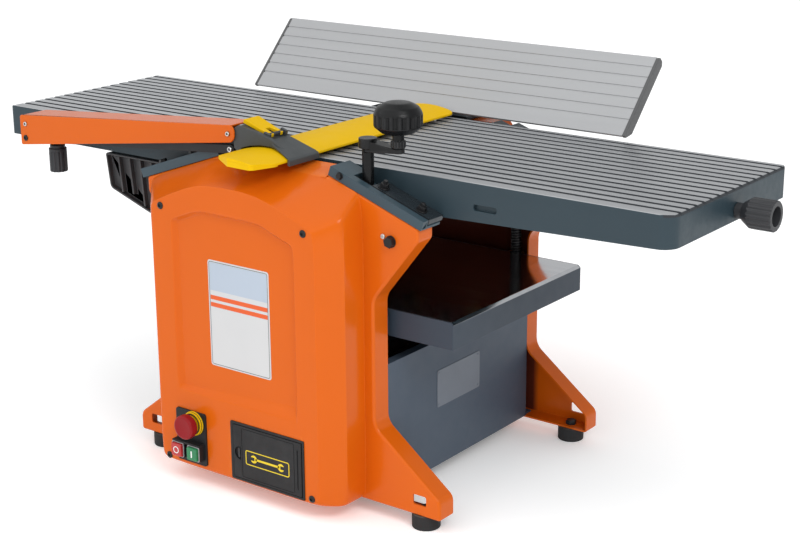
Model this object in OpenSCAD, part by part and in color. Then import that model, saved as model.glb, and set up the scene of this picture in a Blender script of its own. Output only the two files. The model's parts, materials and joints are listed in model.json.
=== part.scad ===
// Combination planer thicknesser: two ribbed tables over a cutter block,
// a lifting bed underneath, a tilting fence and a bridge guard.
// Millimetres. +X is the infeed end, -Y the operator's side, +Z up.
// The floor is Z = 0 and the origin is under the middle of the whole machine.

/* [Tables] */
// Height of the planing tables above the floor
table_z = 465; // [462:1:468]
// Width of the planing tables
table_w = 310; // [308:1:310]
// Distance from the cutter block to the outer end of the infeed table
infeed_end = 561; // [545:1:566]
// Distance from the cutter block to the outer end of the outfeed table
outfeed_end = 566; // [545:1:600]
// Depth of the table castings
table_t = 44; // [42:1:45]
// Number of grooves along a table
groove_count = 15; // [12:1:15]
// Distance between two grooves
groove_pitch = 19.75; // [16:0.25:19.75]
// Width of a groove at the top
groove_w = 7.4; // [5:0.2:9]
// Gap from the cutter axis to each table lip
lip_gap = 30; // [29:0.5:32]

/* [Stand] */
// Distance of each side panel's outer face from the centre line
panel_y = 200; // [200:1:203]
// Half width of the panels at the waist
waist_x = 165; // [164:1:168]
// Half width of the panels at the feet
foot_x = 270; // [260:1:290]
// Sheet thickness of the stand
sheet = 2.5; // [2:0.1:2.6]
// Depth of the turned-in flange of a panel
flange_d = 30; // [28:1:30]
// Diameter of a rubber foot
foot_d = 38; // [30:1:40]
// Height of a rubber foot
foot_h = 20; // [20:1:20]

/* [Cutter and feed] */
// Cutting circle diameter
cut_d = 74; // [72:1:74]
// Feed roller diameter
roller_d = 30; // [26:1:30]
// Distance of each feed roller from the cutter axis
roller_x = 58; // [56:1:60]

/* [Thicknesser bed] */
// Height of the bed's top as shown
bed_z = 278; // [270:1:285]
// Half length of the bed
bed_l = 260; // [240:1:270]
// Edge height of the bed
bed_t = 37; // [33:1:38]
// Diameter of a lead screw
screw_d = 16; // [14:1:16]

/* [Fence] */
// Length of the fence
fence_l = 662; // [600:1:680]
// Height of the fence face
fence_h = 132; // [110:1:135]
// Angle that the fence leans back from upright as shown
fence_lean = 44; // [40:1:45]

/* [Controls] */
// Diameter of the big crank knob
crank_knob_d = 62; // [56:1:64]
// Diameter of the depth knob at the table end
depth_knob_d = 39; // [36:1:42]
// Far end of the depth knob
depth_knob_end = 613; // [608:1:620]

/* [Hidden] */
$fn = 48;

orange = [0.92, 0.41, 0.10];
slate = [0.27, 0.32, 0.36];
black = [0.13, 0.13, 0.14];
steel = [0.66, 0.67, 0.69];
alu = [0.74, 0.75, 0.77];
yellow = [0.96, 0.80, 0.08];

half_w = table_w / 2;
cut_z = table_z - cut_d / 2;          // cutter axis height
roll_z = 405;                         // feed roller axis height
screw_x = 140;                        // lead screw places
screw_y = 175;
slope = 19.3;                         // incline of the table brackets
slope_x = 94;                         // where an incline starts
slope_z = table_z - 8;
mot = [-20, 148];                     // motor axis, X and Z
pulley_c = 13;                        // pulley radii
pulley_m = 30;
post_top = 507;                       // top of the crank hub
knob_x = screw_x + 48;                // crank knob axis
crank_z = 496;
depth_y = 12;                         // depth screw axis
depth_z = table_z - 28.5;
fence_f = [163, table_z + 6];         // fence bottom front edge, Y and Z
fence_t = 14;
car_x = -25;                          // fence carriage centre
fence_x = -15;                        // fence middle
fv = [sin(fence_lean), cos(fence_lean)];   // up along the fence face
fn = [cos(fence_lean), -sin(fence_lean)];  // into the fence
piv = fence_f + 10 * fn + 6.66 * fv;       // fence tilt axis, Y and Z
gl1 = [-470, 456];                    // guard pivots, X and Z
gl2 = [-470, 434.5];
gr1 = [-68, 491.5];
gr2 = [-68, 470];
bar_x = -2;                           // bridge guard centre
lever_x = -9;                         // clamp lever pin along the holder
lever_y = -182;
estop = [-97, 92.5];
button_at = [-120, -91];
y_front = -290;                       // front of the stop button
y_back = 350;                         // end of the fence carriage bar
// moves the model so that its origin is under the middle
off = [-(depth_knob_end - outfeed_end) / 2, -(y_front + y_back) / 2, 0];

// ---------- helpers ----------
function unit(v) = v / norm(v);
function xy(p) = [p[0], p[1]];
function at(p, i) = p[(i + len(p)) % len(p)];
// one corner of an outline, rounded with its own radius
function corner(a, b, c) = let (
    u = unit(xy(a) - xy(b)), v = unit(xy(c) - xy(b)), g = acos(u * v),
    r = b[2], d = r / tan(g / 2), t1 = xy(b) + u * d, t2 = xy(b) + v * d,
    m = xy(b) + unit(u + v) * r / sin(g / 2),
    s = atan2(t1[1] - m[1], t1[0] - m[0]),
    e = atan2(t2[1] - m[1], t2[0] - m[0]),
    w = e - s > 180 ? e - s - 360 : e - s < -180 ? e - s + 360 : e - s,
    n = max(3, ceil(abs(w) / 11)))
  r <= 0 ? [xy(b)]
         : [for (i = [0:n]) m + r * [cos(s + w * i / n), sin(s + w * i / n)]];
function rounded(p) = [for (i = [0:len(p) - 1])
    each corner(at(p, i - 1), p[i], at(p, i + 1))];
// the same outline (drawn anticlockwise) moved in by t
function inset(p, t) = [for (i = [0:len(p) - 1]) let (
    d0 = unit(xy(p[i]) - xy(at(p, i - 1))), d1 = unit(xy(at(p, i + 1)) - xy(p[i])),
    n0 = [-d0[1], d0[0]], n1 = [-d1[1], d1[0]],
    m = (n0 + n1) / (1 + n0 * n1), k = d0[0] * d1[1] - d0[1] * d1[0])
    [p[i][0] + t * m[0], p[i][1] + t * m[1],
     k > 0 ? max(p[i][2] - t, 0) : p[i][2] + t]];
function box_pts(x0, z0, x1, z1, r) = [[x0, z0, r], [x1, z0, r], [x1, z1, r], [x0, z1, r]];

// an XZ outline extruded along Y, a YZ outline extruded along X
module xz(y0, y1) translate([0, y1, 0]) rotate([90, 0, 0]) linear_extrude(y1 - y0) children();
module yz(x0, x1) translate([x0, 0, 0]) rotate([90, 0, 90]) linear_extrude(x1 - x0) children();
module block(a, b) translate(a) cube(b - a);
// round bars along each axis
module bar_x_(d, x0, x1, y, z) translate([x0, y, z]) rotate([0, 90, 0]) cylinder(d = d, h = x1 - x0);
module bar_y(d, y0, y1, x, z) translate([x, y1, z]) rotate([90, 0, 0]) cylinder(d = d, h = y1 - y0);
module bar_z(d, z0, z1, x, y) translate([x, y, z0]) cylinder(d = d, h = z1 - z0);
module both_y() { children(); mirror([0, 1, 0]) children(); }
module both_x() { children(); mirror([1, 0, 0]) children(); }
// the frame along a table incline: X runs down the slope, Z is square to it
module incline() translate([slope_x, 0, slope_z]) rotate([0, slope, 0]) children();
module hex_z(af, z0, z1, x, y) translate([x, y, z0]) cylinder(d = af / cos(30), h = z1 - z0, $fn = 6);

// ---------- stand ----------
panel_pts = [[-foot_x, foot_h, 4], [foot_x, foot_h, 4], [foot_x, 47, 14],
  [waist_x, 128, 24], [waist_x, 302, 26], [236, 391, 13], [236, slope_z - (236 - slope_x) * tan(slope), 4],
  [slope_x, slope_z, 0], [89, table_z - 16, 2], [-89, table_z - 16, 2],
  [-slope_x, slope_z, 0], [-232, slope_z - (232 - slope_x) * tan(slope), 5], [-232, 388, 13], [-waist_x, 302, 26],
  [-waist_x, 128, 24], [-foot_x, 47, 14]];
module side_panel(motor_hole) difference() {
  xz(-panel_y, -panel_y + flange_d) polygon(rounded(panel_pts));
  xz(-panel_y + sheet, -panel_y + flange_d + 1) polygon(rounded(inset(panel_pts, sheet)));
  bar_y(30, -panel_y - 1, -panel_y + 4, 0, cut_z);
  for (s = [-1, 1]) bar_y(20, -panel_y - 1, -panel_y + 4, s * roller_x, roll_z);
  bar_y(12.2, -panel_y - 1, -panel_y + 4, 98, 412);
  if (motor_hole) bar_y(44, -panel_y - 1, -panel_y + 4, mot[0], mot[1]);
  bar_z(20, 425, 470, screw_x, -screw_y);
  both_x() block([227, -panel_y - 1, 35.5], [248, -panel_y + 4, 49.5]);
  for (x = [-236, 236]) bar_z(9, foot_h - 1, foot_h + 4, x, -183);
}
module front_side_panel() color(orange) side_panel(true);
module rear_side_panel() color(orange) mirror([0, 1, 0]) side_panel(false);
module cross_panels() color(slate) both_x() {
  d = panel_y - flange_d;
  block([waist_x - sheet, -d, foot_h + sheet], [waist_x, d, 206]);
  block([waist_x - 14, -d, 206 - sheet], [waist_x - sheet, d, 206]);
}
module base_tray() color(slate) difference() {
  block([-waist_x + sheet, -panel_y + 11, foot_h + sheet], [waist_x - sheet, panel_y - 11, foot_h + 2 * sheet]);
  both_x() both_y() bar_z(27, foot_h, foot_h + 10, screw_x, -screw_y);
}
module rubber_feet() color(black) for (x = [-236, 236], y = [-183, 183]) difference() {
  bar_z(foot_d, 0, foot_h, x, y);
  bar_z(18, -1, 6, x, y);
}
module frame_bolts() color([0.15, 0.15, 0.16]) {
  for (x = [-236, 236], y = [-183, 183]) hex_z(14, foot_h + sheet, foot_h + sheet + 6, x, y);
  both_y() {
    both_x() translate([194, -panel_y, 385]) rotate([90, 0, 0]) cylinder(d = 16, h = 7, $fn = 6);
    both_x() bar_y(7, -panel_y - 2.5, -panel_y, 182, 390);
    mirror([1, 0, 0]) incline() for (u = [71, 133]) hex_z(10, 12, 18, u, -175);
  }
}

// ---------- covers ----------
// outline of the front cover at one depth, as a thin slice
cover_back = [[-167, 21], [150, 21], [150, 437.5], [slope_x, 455], [-90, 455], [-144, 437], [-167, 421]];
cover_mid = [[-167, 21], [150, 21], [150, 400], [110, 419], [60, 433], [-60, 437], [-144, 424], [-167, 412]];
cover_near = [[-167, 22], [143, 22], [143, 396], [113, 409], [60, 428], [-60, 436.5], [-100, 427], [-167, 401]];
cover_face = [[-163, 27], [121, 27], [121, 394], [113, 402], [91, 411], [70, 419], [53, 424.5], [37, 430],
  [20, 433.4], [-16, 434.6], [-52, 433.8], [-76, 431], [-95, 425.4], [-115, 417.5], [-135, 408.5], [-163, 395]];
// the shoulder that runs out under the outfeed bracket
shoulder_back = [[-94, 318, 0], [-94, 455.5, 0], [-226, 409.3, 8], [-226, 392, 6], [-165, 318, 0]];
shoulder_front = [[-110, 330, 0], [-110, 405, 0], [-135, 404.5, 0], [-163, 394, 0], [-163, 330, 0]];
function flat(p) = [for (q = p) [q[0], q[1], 0]];
module cover_solid(t) hull() {
  xz(-200.5, -200) polygon(rounded(inset(flat(cover_back), t)));
  xz(-246 + t * 0.6, -245) polygon(rounded(inset(flat(cover_mid), t)));
  xz(-258 + t, -257 + t) polygon(rounded(inset(flat(cover_near), t)));
  xz(-264 + t, -263 + t) polygon(rounded(inset(flat(cover_face), t)));
}
module shoulder(t) hull() {
  xz(-200.5, t > 0 ? -199 : -200) polygon(rounded(inset(shoulder_back, t)));
  xz(-262 + 2 * t, -261 + 2 * t) polygon(rounded(inset(shoulder_front, t)));
}
cover_screw_at = [[-144.5, 394], [104, 395], [109.5, 33.5], [-149.5, 31.5]];
module front_cover() color(orange) {
  difference() {
    union() {
      cover_solid(0);
      shoulder(0);
    }
    cover_solid(3);
    shoulder(3);
    block([-164, -202, 24], [147, -199, 418]);
    block([-28.8, -270, 29.8], [96.2, -255, 110.7]);
    block([-127, -270, 35], [-80, -255, 103]);
    for (p = cover_screw_at) bar_y(6.4, -270, -255, p[0], p[1]);
  }
  yz(-86, 86) polygon([[-200, 452], [-200, 455], [-164, table_z - 2.5], [-164, table_z - 5.5]]);
}
module rear_cover() color(orange) difference() {
  xz(panel_y, 240) polygon(rounded(box_pts(-92, 371, 92, 454, 14)));
  xz(panel_y - 1, 237) polygon(rounded(box_pts(-89, 374, 89, 451, 11)));
}
module cover_screws() color(black) {
  for (p = cover_screw_at) { bar_y(9, -267, -264, p[0], p[1]); bar_y(6, -264, -256, p[0], p[1]); }
}

// ---------- tables ----------
// cross section of a ribbed table, Y and Z
groove_y = 144 - (groove_count - 1) * groove_pitch;
function table_profile(t) = concat([[-half_w, table_z - t], [-half_w, table_z - 1], [-half_w + 1, table_z]],
  [for (i = [0:groove_count - 1]) let (y = groove_y + i * groove_pitch, g = groove_w / 2)
    each [[y - g, table_z], [y - g + 0.7, table_z - 2.6], [y + g - 0.7, table_z - 2.6], [y + g, table_z]]],
  [[half_w - 1, table_z], [half_w, table_z - 1], [half_w, table_z - t]]);
module table_casting(end, r_front, t, e) difference() {
  intersection() {
    yz(lip_gap, end) polygon(table_profile(t));
    translate([0, 0, table_z - 60]) linear_extrude(70) polygon(rounded([[0, -half_w, 0],
      [end, -half_w, r_front], [end, half_w, 9], [0, half_w, 0]]));
  }
  // eased outer edge
  xz(-200, 200) polygon([[end - e, table_z], [end - 0.62 * e, table_z - 0.08 * e], [end - 0.3 * e, table_z - 0.3 * e],
    [end - 0.08 * e, table_z - 0.62 * e], [end, table_z - e], [end + 1, table_z - e], [end + 1, table_z + 1], [end - e, table_z + 1]]);
  // hollow underside, left open below, with two long ribs
  for (y = [[-148, -63], [-57, 57], [63, 148]])
    block([lip_gap + 16, y[0], 0], [end - 9, y[1], table_z - 12]);
  // relief over the feed rollers and under the lip
  block([0, -200, 0], [145, 200, table_z - 32]);
  block([0, -200, 0], [lip_gap + 11, 200, table_z - 11.5]);
}
module infeed_table() color(slate) difference() {
  union() {
    table_casting(infeed_end, 20, table_t + 12, 5);
    // boss round the depth screw
    bar_x_(26, infeed_end - 12, infeed_end, depth_y, depth_z);
  }
  // the underside rises towards the outer end
  xz(-200, 200) polygon([[100, 300], [infeed_end + 1, 300], [infeed_end + 1, table_z - table_t + 2.5],
    [145, table_z - table_t - 9.7], [100, table_z - table_t - 11]]);
  bar_x_(12.2, infeed_end - 30, infeed_end + 1, depth_y, depth_z);
  // hand slot in the front edge
  xz(-half_w - 1, -half_w + 5) polygon(rounded(box_pts(288, table_z - 35, 322, table_z - 27, 3)));
}
module outfeed_table() color(slate) mirror([1, 0, 0]) table_casting(outfeed_end, 7, table_t, 8);

// inclined channels on the panels' top edges, and the runners that lie in them
module bracket(low, high) difference() {
  union() {
    incline() {
      block([low, -200, 0], [high, -160, 13]);
      block([0, -200, 0], [58, -160, 3.4]);
      block([58, -200, 0], [155, -160, 4]);
      block([high, -200, 0], [155, -188.5, 13]);
    }
  }
  bar_z(20, 380, 520, screw_x, -screw_y);
  // hollow end
  incline() translate([146, 0, 0]) yz(0, 10) polygon([[-198, 2.5], [-191, 2.5], [-191, 10.5]]);
}
module table_brackets() color(slate) {
  both_x() {
    bracket(0, 31);
    mirror([0, 1, 0]) bracket(29, 58);
  }
  // tie strip under the infeed table with the depth screw's guide
  difference() {
    union() {
      block([160, -panel_y + sheet, 400], [176, panel_y - sheet, 407]);
      block([160, depth_y - 12, 407], [176, depth_y + 12, table_z - 18]);
    }
    block([159, depth_y - 6.4, 424], [177, depth_y + 6.4, table_z]);
  }
}
module runner(w) incline() block([59, -185.5, w], [154, -half_w, 12]);
module infeed_runners() color(slate) both_y() runner(4.5);
module outfeed_runners() color(slate) mirror([1, 0, 0]) both_y() runner(4);
module infeed_runner_bolts() color(black) both_y() incline() for (u = [71, 133]) {
  bar_z(15, 12, 13.5, u, -175);
  hex_z(10, 13.5, 19, u, -175);
  bar_z(6, 19, 23, u, -175);
}

// ---------- cutter block and drive ----------
module around_cutter(n) for (k = [0:n - 1]) translate([0, 0, cut_z]) rotate([0, k * 360 / n + 30, 0]) children();
module cutter_block() color(steel) difference() {
  union() {
    bar_y(cut_d - 4, -152, 152, 0, cut_z);
    bar_y(25, -panel_y, 197, 0, cut_z);
    bar_y(15, -224, -panel_y, 0, cut_z);
    bar_y(20, 190, 214, 0, cut_z);
  }
  around_cutter(3) block([-2, -153, 20], [12, 153, 45]);
}
module planer_knives() color(alu) around_cutter(3) block([-2, -150, 20], [1, 150, cut_d / 2]);
module knife_wedges() color(steel) around_cutter(3) block([1, -150, 20], [12, 150, 31]);
module cutter_bearings() color(steel) both_y() difference() {
  union() {
    bar_y(36, -panel_y + sheet, -panel_y + 18, 0, cut_z);
    bar_y(32, -panel_y + 18, -panel_y + 22, 0, cut_z);
  }
  bar_y(25.1, -panel_y, -panel_y + 30, 0, cut_z);
}
module grooved(r, y0, x, z, bore) translate([x, y0, z]) rotate([-90, 0, 0]) rotate_extrude()
  polygon(concat([[bore / 2, 0], [r + 1.5, 0], [r + 1.5, 1.5]],
    [for (i = [0:3]) each [[r, 2 + i * 3.6], [r - 1.4, 3.6 + i * 3.6]]],
    [[r, 16], [r + 1.5, 16.5], [r + 1.5, 18], [bore / 2, 18]]));
module cutter_pulley() color(steel) grooved(pulley_c, -222, 0, cut_z, 15);
module motor_pulley() color(steel) {
  grooved(pulley_m, -222, mot[0], mot[1], 20);
  bar_y(20, -224, -150, mot[0], mot[1]);
}
module belt_shape(e) hull() {
  translate([0, cut_z]) circle(r = pulley_c + 0.4 + e);
  translate(mot) circle(r = pulley_m + 0.4 + e);
}
module drive_belt() color(black) xz(-220, -206) difference() { belt_shape(2.4); belt_shape(0); }
module motor() color([0.24, 0.25, 0.27]) difference() {
  union() {
    bar_y(104, -160, 60, mot[0], mot[1]);
    bar_y(90, 60, 84, mot[0], mot[1]);
    bar_y(84, -panel_y + sheet, -160, mot[0], mot[1]);
    for (k = [0:17]) translate([mot[0], 0, mot[1]]) rotate([0, k * 20, 0]) block([-1.5, -150, 48], [1.5, 54, 54]);
    block([mot[0] + 20, -120, mot[1] + 40], [mot[0] + 62, -20, mot[1] + 52]);
  }
  bar_y(20.1, -panel_y, -149, mot[0], mot[1]);
}
module feed_roller(s) {
  bar_y(roller_d, -152, 152, s * roller_x, roll_z);
  bar_y(16, -197, 197, s * roller_x, roll_z);
  bar_y(14, 190, 234, s * roller_x, roll_z);
  // chain wheel
  translate([s * roller_x, 230, roll_z]) rotate([90, 0, 0]) difference() {
    cylinder(r = 20, h = 6);
    for (k = [0:15]) rotate(k * 22.5) translate([20.5, 0, -1]) cylinder(d = 5, h = 8, $fn = 16);
  }
}
module infeed_feed_roller() color(steel) feed_roller(1);
module outfeed_feed_roller() color(steel) feed_roller(-1);
module roller_bushes() color([0.72, 0.55, 0.30]) both_y() both_x() difference() {
  bar_y(28, -panel_y + sheet, -panel_y + 20, roller_x, roll_z);
  bar_y(16.1, -panel_y, -panel_y + 30, roller_x, roll_z);
}
module feed_gearbox() color([0.30, 0.31, 0.33]) difference() {
  xz(panel_y, 220) polygon(rounded(box_pts(-24, 384, 80, 448, 12)));
  bar_y(20.2, panel_y - 1, 216, 0, cut_z);
  bar_y(14.2, panel_y - 1, 230, roller_x, roll_z);
}
module chain_shape(e) hull() for (s = [-1, 1]) translate([s * roller_x, roll_z]) circle(r = 20.6 + e);
module feed_chain() color([0.35, 0.34, 0.32]) xz(224, 230) difference() { chain_shape(4); chain_shape(0); }
module kickback_rake() color(steel) {
  bar_y(12, -199.5, 199.5, 98, 412);
  for (i = [-9:9]) translate([98, i * 16 - 2, 412]) rotate([-90, 0, 0]) linear_extrude(4)
    polygon([[-8, 0], [8, 0], [9, 14], [3, 20], [-4, 20]]);
}

// ---------- thicknesser bed and its lift ----------
module bed_lug() translate([screw_x, 0, 0]) {
  block([-17, -190, bed_z - 33], [17, -157, bed_z - 10]);
}
module thicknesser_bed() color(slate) difference() {
  union() {
    block([-bed_l, -158, bed_z - bed_t], [bed_l, 158, bed_z]);
    both_x() both_y() bed_lug();
  }
  for (x = [[-251, -85], [-79, 79], [85, 251]], y = [[-151, -3], [3, 151]])
    block([x[0], y[0], 0], [x[1], y[1], bed_z - 11]);
  both_x() both_y() bar_z(26.2, 0, bed_z + 1, screw_x, -screw_y);
  // bevelled leading edges
  both_x() translate([bed_l, 0, bed_z]) rotate([0, 45, 0]) cube([5.4, 400, 5.4], center = true);
}
module bed_nuts() color([0.72, 0.55, 0.30]) both_x() both_y() difference() {
  union() {
    bar_z(26, bed_z - 33, bed_z - 6, screw_x, -screw_y);
    bar_z(33, bed_z - 38, bed_z - 33, screw_x, -screw_y);
  }
  bar_z(screw_d + 0.1, 0, bed_z + 10, screw_x, -screw_y);
}
module lead_screw(top, sx, sy) {
  bar_z(screw_d, foot_h + sheet + 0.4, top, sx * screw_x, sy * screw_y);
  translate([sx * screw_x, sy * screw_y, 35]) difference() {
    cylinder(r = 14, h = 5);
    for (k = [0:11]) rotate(k * 30) translate([14.4, 0, -1]) cylinder(d = 4.4, h = 7, $fn = 16);
  }
}
module lead_screw_front_infeed() color([0.20, 0.20, 0.21]) {
  lead_screw(440, 1, -1);
  bar_z(10, 440, crank_z - 4, screw_x, -screw_y);
}
module lead_screw_front_outfeed() color([0.20, 0.20, 0.21]) lead_screw(433, -1, -1);
module lead_screw_rear_infeed() color([0.20, 0.20, 0.21]) lead_screw(433, 1, 1);
module lead_screw_rear_outfeed() color([0.20, 0.20, 0.21]) lead_screw(433, -1, 1);
module screw_bushes() color([0.40, 0.41, 0.43]) both_x() both_y() difference() {
  union() {
    bar_z(26, foot_h + sheet, 34, screw_x, -screw_y);
    block([screw_x - 15, -panel_y + sheet, 418], [screw_x + 15, -163, 428]);
  }
  bar_z(screw_d + 0.1, 0, 500, screw_x, -screw_y);
}
module loop(e) polygon(rounded(box_pts(-screw_x - 14.6 - e, -screw_y - 14.6 - e,
  screw_x + 14.6 + e, screw_y + 14.6 + e, 14.6 + e)));
module lift_chain() color([0.35, 0.34, 0.32]) translate([0, 0, 34.5]) linear_extrude(6)
  difference() { loop(4); loop(0); }

// crank with its post socket, and the round knob that turns on it
module crank_arm() color(black) difference() {
  union() {
    bar_z(24, 494, post_top, screw_x, -screw_y);
    bar_z(15.4, 440, 494, screw_x, -screw_y);
    xz(-screw_y - 8, -screw_y + 8) polygon([[screw_x, 489], [knob_x, 493], [knob_x, 499],
      [screw_x + 24, 501.5], [screw_x, 505]]);
    bar_z(16, 493, 499, knob_x, -screw_y);
    bar_z(15, 499, 518.5, knob_x, -screw_y);
    bar_z(12, 518.5, 545, knob_x, -screw_y);
  }
  bar_z(10, 430, crank_z - 4, screw_x, -screw_y);
}
module crank_knob() color(black) difference() {
  k = crank_knob_d / 2;
  translate([knob_x, -screw_y, 519]) {
    rotate_extrude() polygon([[0, 0], [k - 12, 0], [k - 9, 1.2], [k - 1, 8], [k, 10], [0, 10]]);
    translate([0, 0, 10]) linear_extrude(14) difference() {
      circle(r = k);
      for (i = [0:17]) rotate(i * 20) translate([k + 1.2, 0]) circle(d = 6, $fn = 24);
    }
    rotate_extrude() polygon(rounded([[0, 24, 0], [k, 24, 0], [k - 1.5, 28, 3], [k - 5, 33.5, 5], [k - 15, 38.7, 12], [0, 40, 0]]));
  }
  bar_z(12.1, 500, 545.5, knob_x, -screw_y);
}
module depth_knob() color(black) {
  k = depth_knob_d / 2;
  difference() {
    translate([571, depth_y, depth_z]) rotate([0, 90, 0]) rotate_extrude() polygon(rounded([[0, 0, 0], [12, 0, 1],
      [k, 11, 3], [k, depth_knob_end - 571, 1.5], [0, depth_knob_end - 571, 0]]));
    for (i = [0:17]) translate([580, depth_y, depth_z]) rotate([i * 20, 0, 0]) translate([0, 0, k + 1])
      rotate([0, 90, 0]) cylinder(d = 4.4, h = 60, $fn = 16);
    bar_x_(25, depth_knob_end - 16, depth_knob_end + 1, depth_y, depth_z);
  }
  bar_x_(20, infeed_end + 0.5, 571, depth_y, depth_z);
  bar_x_(12, 155, infeed_end + 0.5, depth_y, depth_z);
}

// ---------- chip hood under the outfeed table ----------
hood_pts = [[-368, 416, 4], [-361, 364, 10], [-282, 337, 6], [-95, 340, 0], [-95, 416, 0]];
module chip_hood() color(black) {
  difference() {
    union() {
      xz(-142, 147) polygon(rounded(hood_pts));
      bar_y(66, 140, 192, -306, 379);
    }
    xz(-139, 144) polygon([[-362, 413], [-356, 367], [-281, 340], [-94, 343], [-94, 413]]);
    bar_y(60, 130, 200, -306, 379);
  }
  // rim and ribs on the front wall
  xz(-150, -142) difference() {
    polygon(rounded(hood_pts));
    polygon(rounded(inset(hood_pts, 3)));
  }
  for (x = [-344, -322, -300, -278]) xz(-149.5, -142)
    polygon([[x, 414], [x + 6, x < -300 ? 360 : 345], [x + 9.5, x < -300 ? 360 : 345], [x + 3.5, 414]]);
}

// ---------- bridge guard on its parallel arm ----------
module guard_bracket() color([0.20, 0.20, 0.21]) difference() {
  union() {
    block([-480, -198, 427], [-452, -half_w, 461]);
    block([-452, -196, 433], [-416, -172, 443]);
    bar_y(6, -209.6, -198, gl1[0], gl1[1]);
    bar_y(6, -205.8, -198, gl2[0], gl2[1]);
  }
  bar_z(8.1, 400, 500, -432, -184);
}
arm_pts = [[-482, 423.5, 3], [-57.5, 480.9, 11], [-57, 504.2, 9], [-482, 468, 4]];
module guard_arm() color(orange) difference() {
  union() {
    // front wall, top wall and the rear wall beyond the bracket
    xz(-209, -206.5) polygon(rounded(arm_pts));
    xz(-206.5, -158) polygon([[-482, 464.9], [-482, 467.4], [-66, 502.7], [-66, 500.2]]);
    xz(-160.5, -158) polygon([[-438, 430.5], [-92, 477], [-92, 500], [-438, 470]]);
  }
  bar_y(6.1, -215, -200, gl1[0], gl1[1]);
  bar_y(6.1, -215, -200, gr1[0], gr1[1]);
}
module guard_link() color([0.20, 0.20, 0.21]) difference() {
  union() {
    xz(-205.3, -201.3) polygon([[gl2[0], gl2[1] - 6], [gr2[0], gr2[1] - 6], [gr2[0], gr2[1] + 6], [gl2[0], gl2[1] + 6]]);
    for (p = [gl2, gr2]) bar_y(12, -205.3, -201.3, p[0], p[1]);
  }
  for (p = [gl2, gr2]) bar_y(6.1, -210, -195, p[0], p[1]);
}
module guard_holder() color(black) difference() {
  union() {
    // wedge-shaped clamp over the guard bar, flared at its low end
    intersection() {
      xz(-223, -163) polygon([[-61, 474], [-61, 499], [-54, 503.4], [-48, 504], [46, 475.6], [50, 473], [50, 466], [-50, 466]]);
      translate([0, 0, 400]) linear_extrude(200) polygon([[-62, -206], [6, -206], [51, -223], [51, -163], [-62, -163]]);
    }
    // arched rim along the front
    xz(-206, -200.8) polygon([[-60, 474.4], [-60, 498], [-49, 503.6], [-40, 502.6], [-26, 500.4], [-9, 496.6], [4, 492.6],
      [14, 488], [24, 482.2], [30, 479], [30, 470], [-40, 470]]);
    // ear inside the arm
    xz(-199.5, -167) polygon(rounded([[-84, 465, 10], [-52, 466, 0], [-52, 496, 0], [-84, 496, 12]]));
    bar_y(6, -210.6, -199, gr1[0], gr1[1]);
    bar_y(6, -207.2, -199, gr2[0], gr2[1]);
    // ears for the clamp lever's pin
    translate([0, 0, 489]) rotate([0, 17, 0]) {
      block([lever_x - 5, lever_y - 19, -4], [lever_x + 5, lever_y - 14.6, 6.6]);
      block([lever_x - 5, lever_y + 14.6, -5], [lever_x + 5, lever_y + 18.6, 6.6]);
    }
  }
  translate([0, 0, 489]) rotate([0, 17, 0]) block([lever_x - 7, lever_y - 14.2, -1], [lever_x + 7, lever_y + 14.2, 4]);
  xz(-230, -150) polygon([[bar_x - 46.8, 460], [bar_x - 46.8, 474], [bar_x - 30, 479], [bar_x - 12, 482],
    [bar_x + 12, 482], [bar_x + 30, 478.5], [bar_x + 46.8, 473.6], [bar_x + 46.8, 460]]);
  translate([0, 0, 489]) rotate([0, 17, 0]) bar_y(5.1, lever_y - 18.6, lever_y + 22, lever_x, 3.6);
}
// the yellow guard: a shallow arch with a faceted nose
bar_top = [for (i = [-10:10]) [bar_x + 4.6 * i, 480 - 7.2 * pow(i / 10, 2)]];
bar_low = [for (i = [10:-1:-10]) [bar_x + 4.6 * i, (abs(i) > 9 ? 469.6 : 476 - 5.4 * pow(i / 10, 2))]];
module bridge_guard() color(yellow) difference() {
  intersection() {
    xz(-278, 155) polygon(concat(bar_top, bar_low));
    translate([0, 0, 400]) linear_extrude(200) polygon(rounded([[bar_x - 46, -250, 3], [bar_x - 6, -278, 6],
      [bar_x + 34, -278, 8], [bar_x + 46, -244, 4], [bar_x + 46, 155, 10], [bar_x - 46, 155, 10]]));
  }
}
module guard_clamp_lever() color(yellow) translate([0, 0, 489]) rotate([0, 17, 0]) {
  difference() {
    translate([lever_x, lever_y, 0.8]) linear_extrude(5) polygon(rounded([[-46, -14, 4], [-21, -14, 6], [-15, -13, 0], [3, -13, 2],
      [3, -5, 2], [-15, -5, 2], [-15, 5, 2], [3, 5, 2], [3, 13, 2], [-15, 13, 0], [-21, 14, 6], [-46, 14, 4]]));
    translate([lever_x, lever_y, 0]) for (s = [-1, 1]) block([-10, s * 9 - 5, -1], [4, s * 9 + 5, 0.7]);
  }
  bar_y(5, lever_y - 18, lever_y + 18, lever_x, 3.6);
}
module guard_height_knob() color(black) {
  bar_z(8, 420, 462, -432, -184);
  bar_z(22, 420, 426, -432, -184);
  difference() {
    bar_z(26, 386, 421, -432, -184);
    for (k = [0:11]) rotate_about(k * 30) bar_z(3.6, 380, 416, -432 + 13.9, -184);
  }
}
module rotate_about(a) translate([-432, -184, 0]) rotate(a) translate([432, 184, 0]) children();

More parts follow.
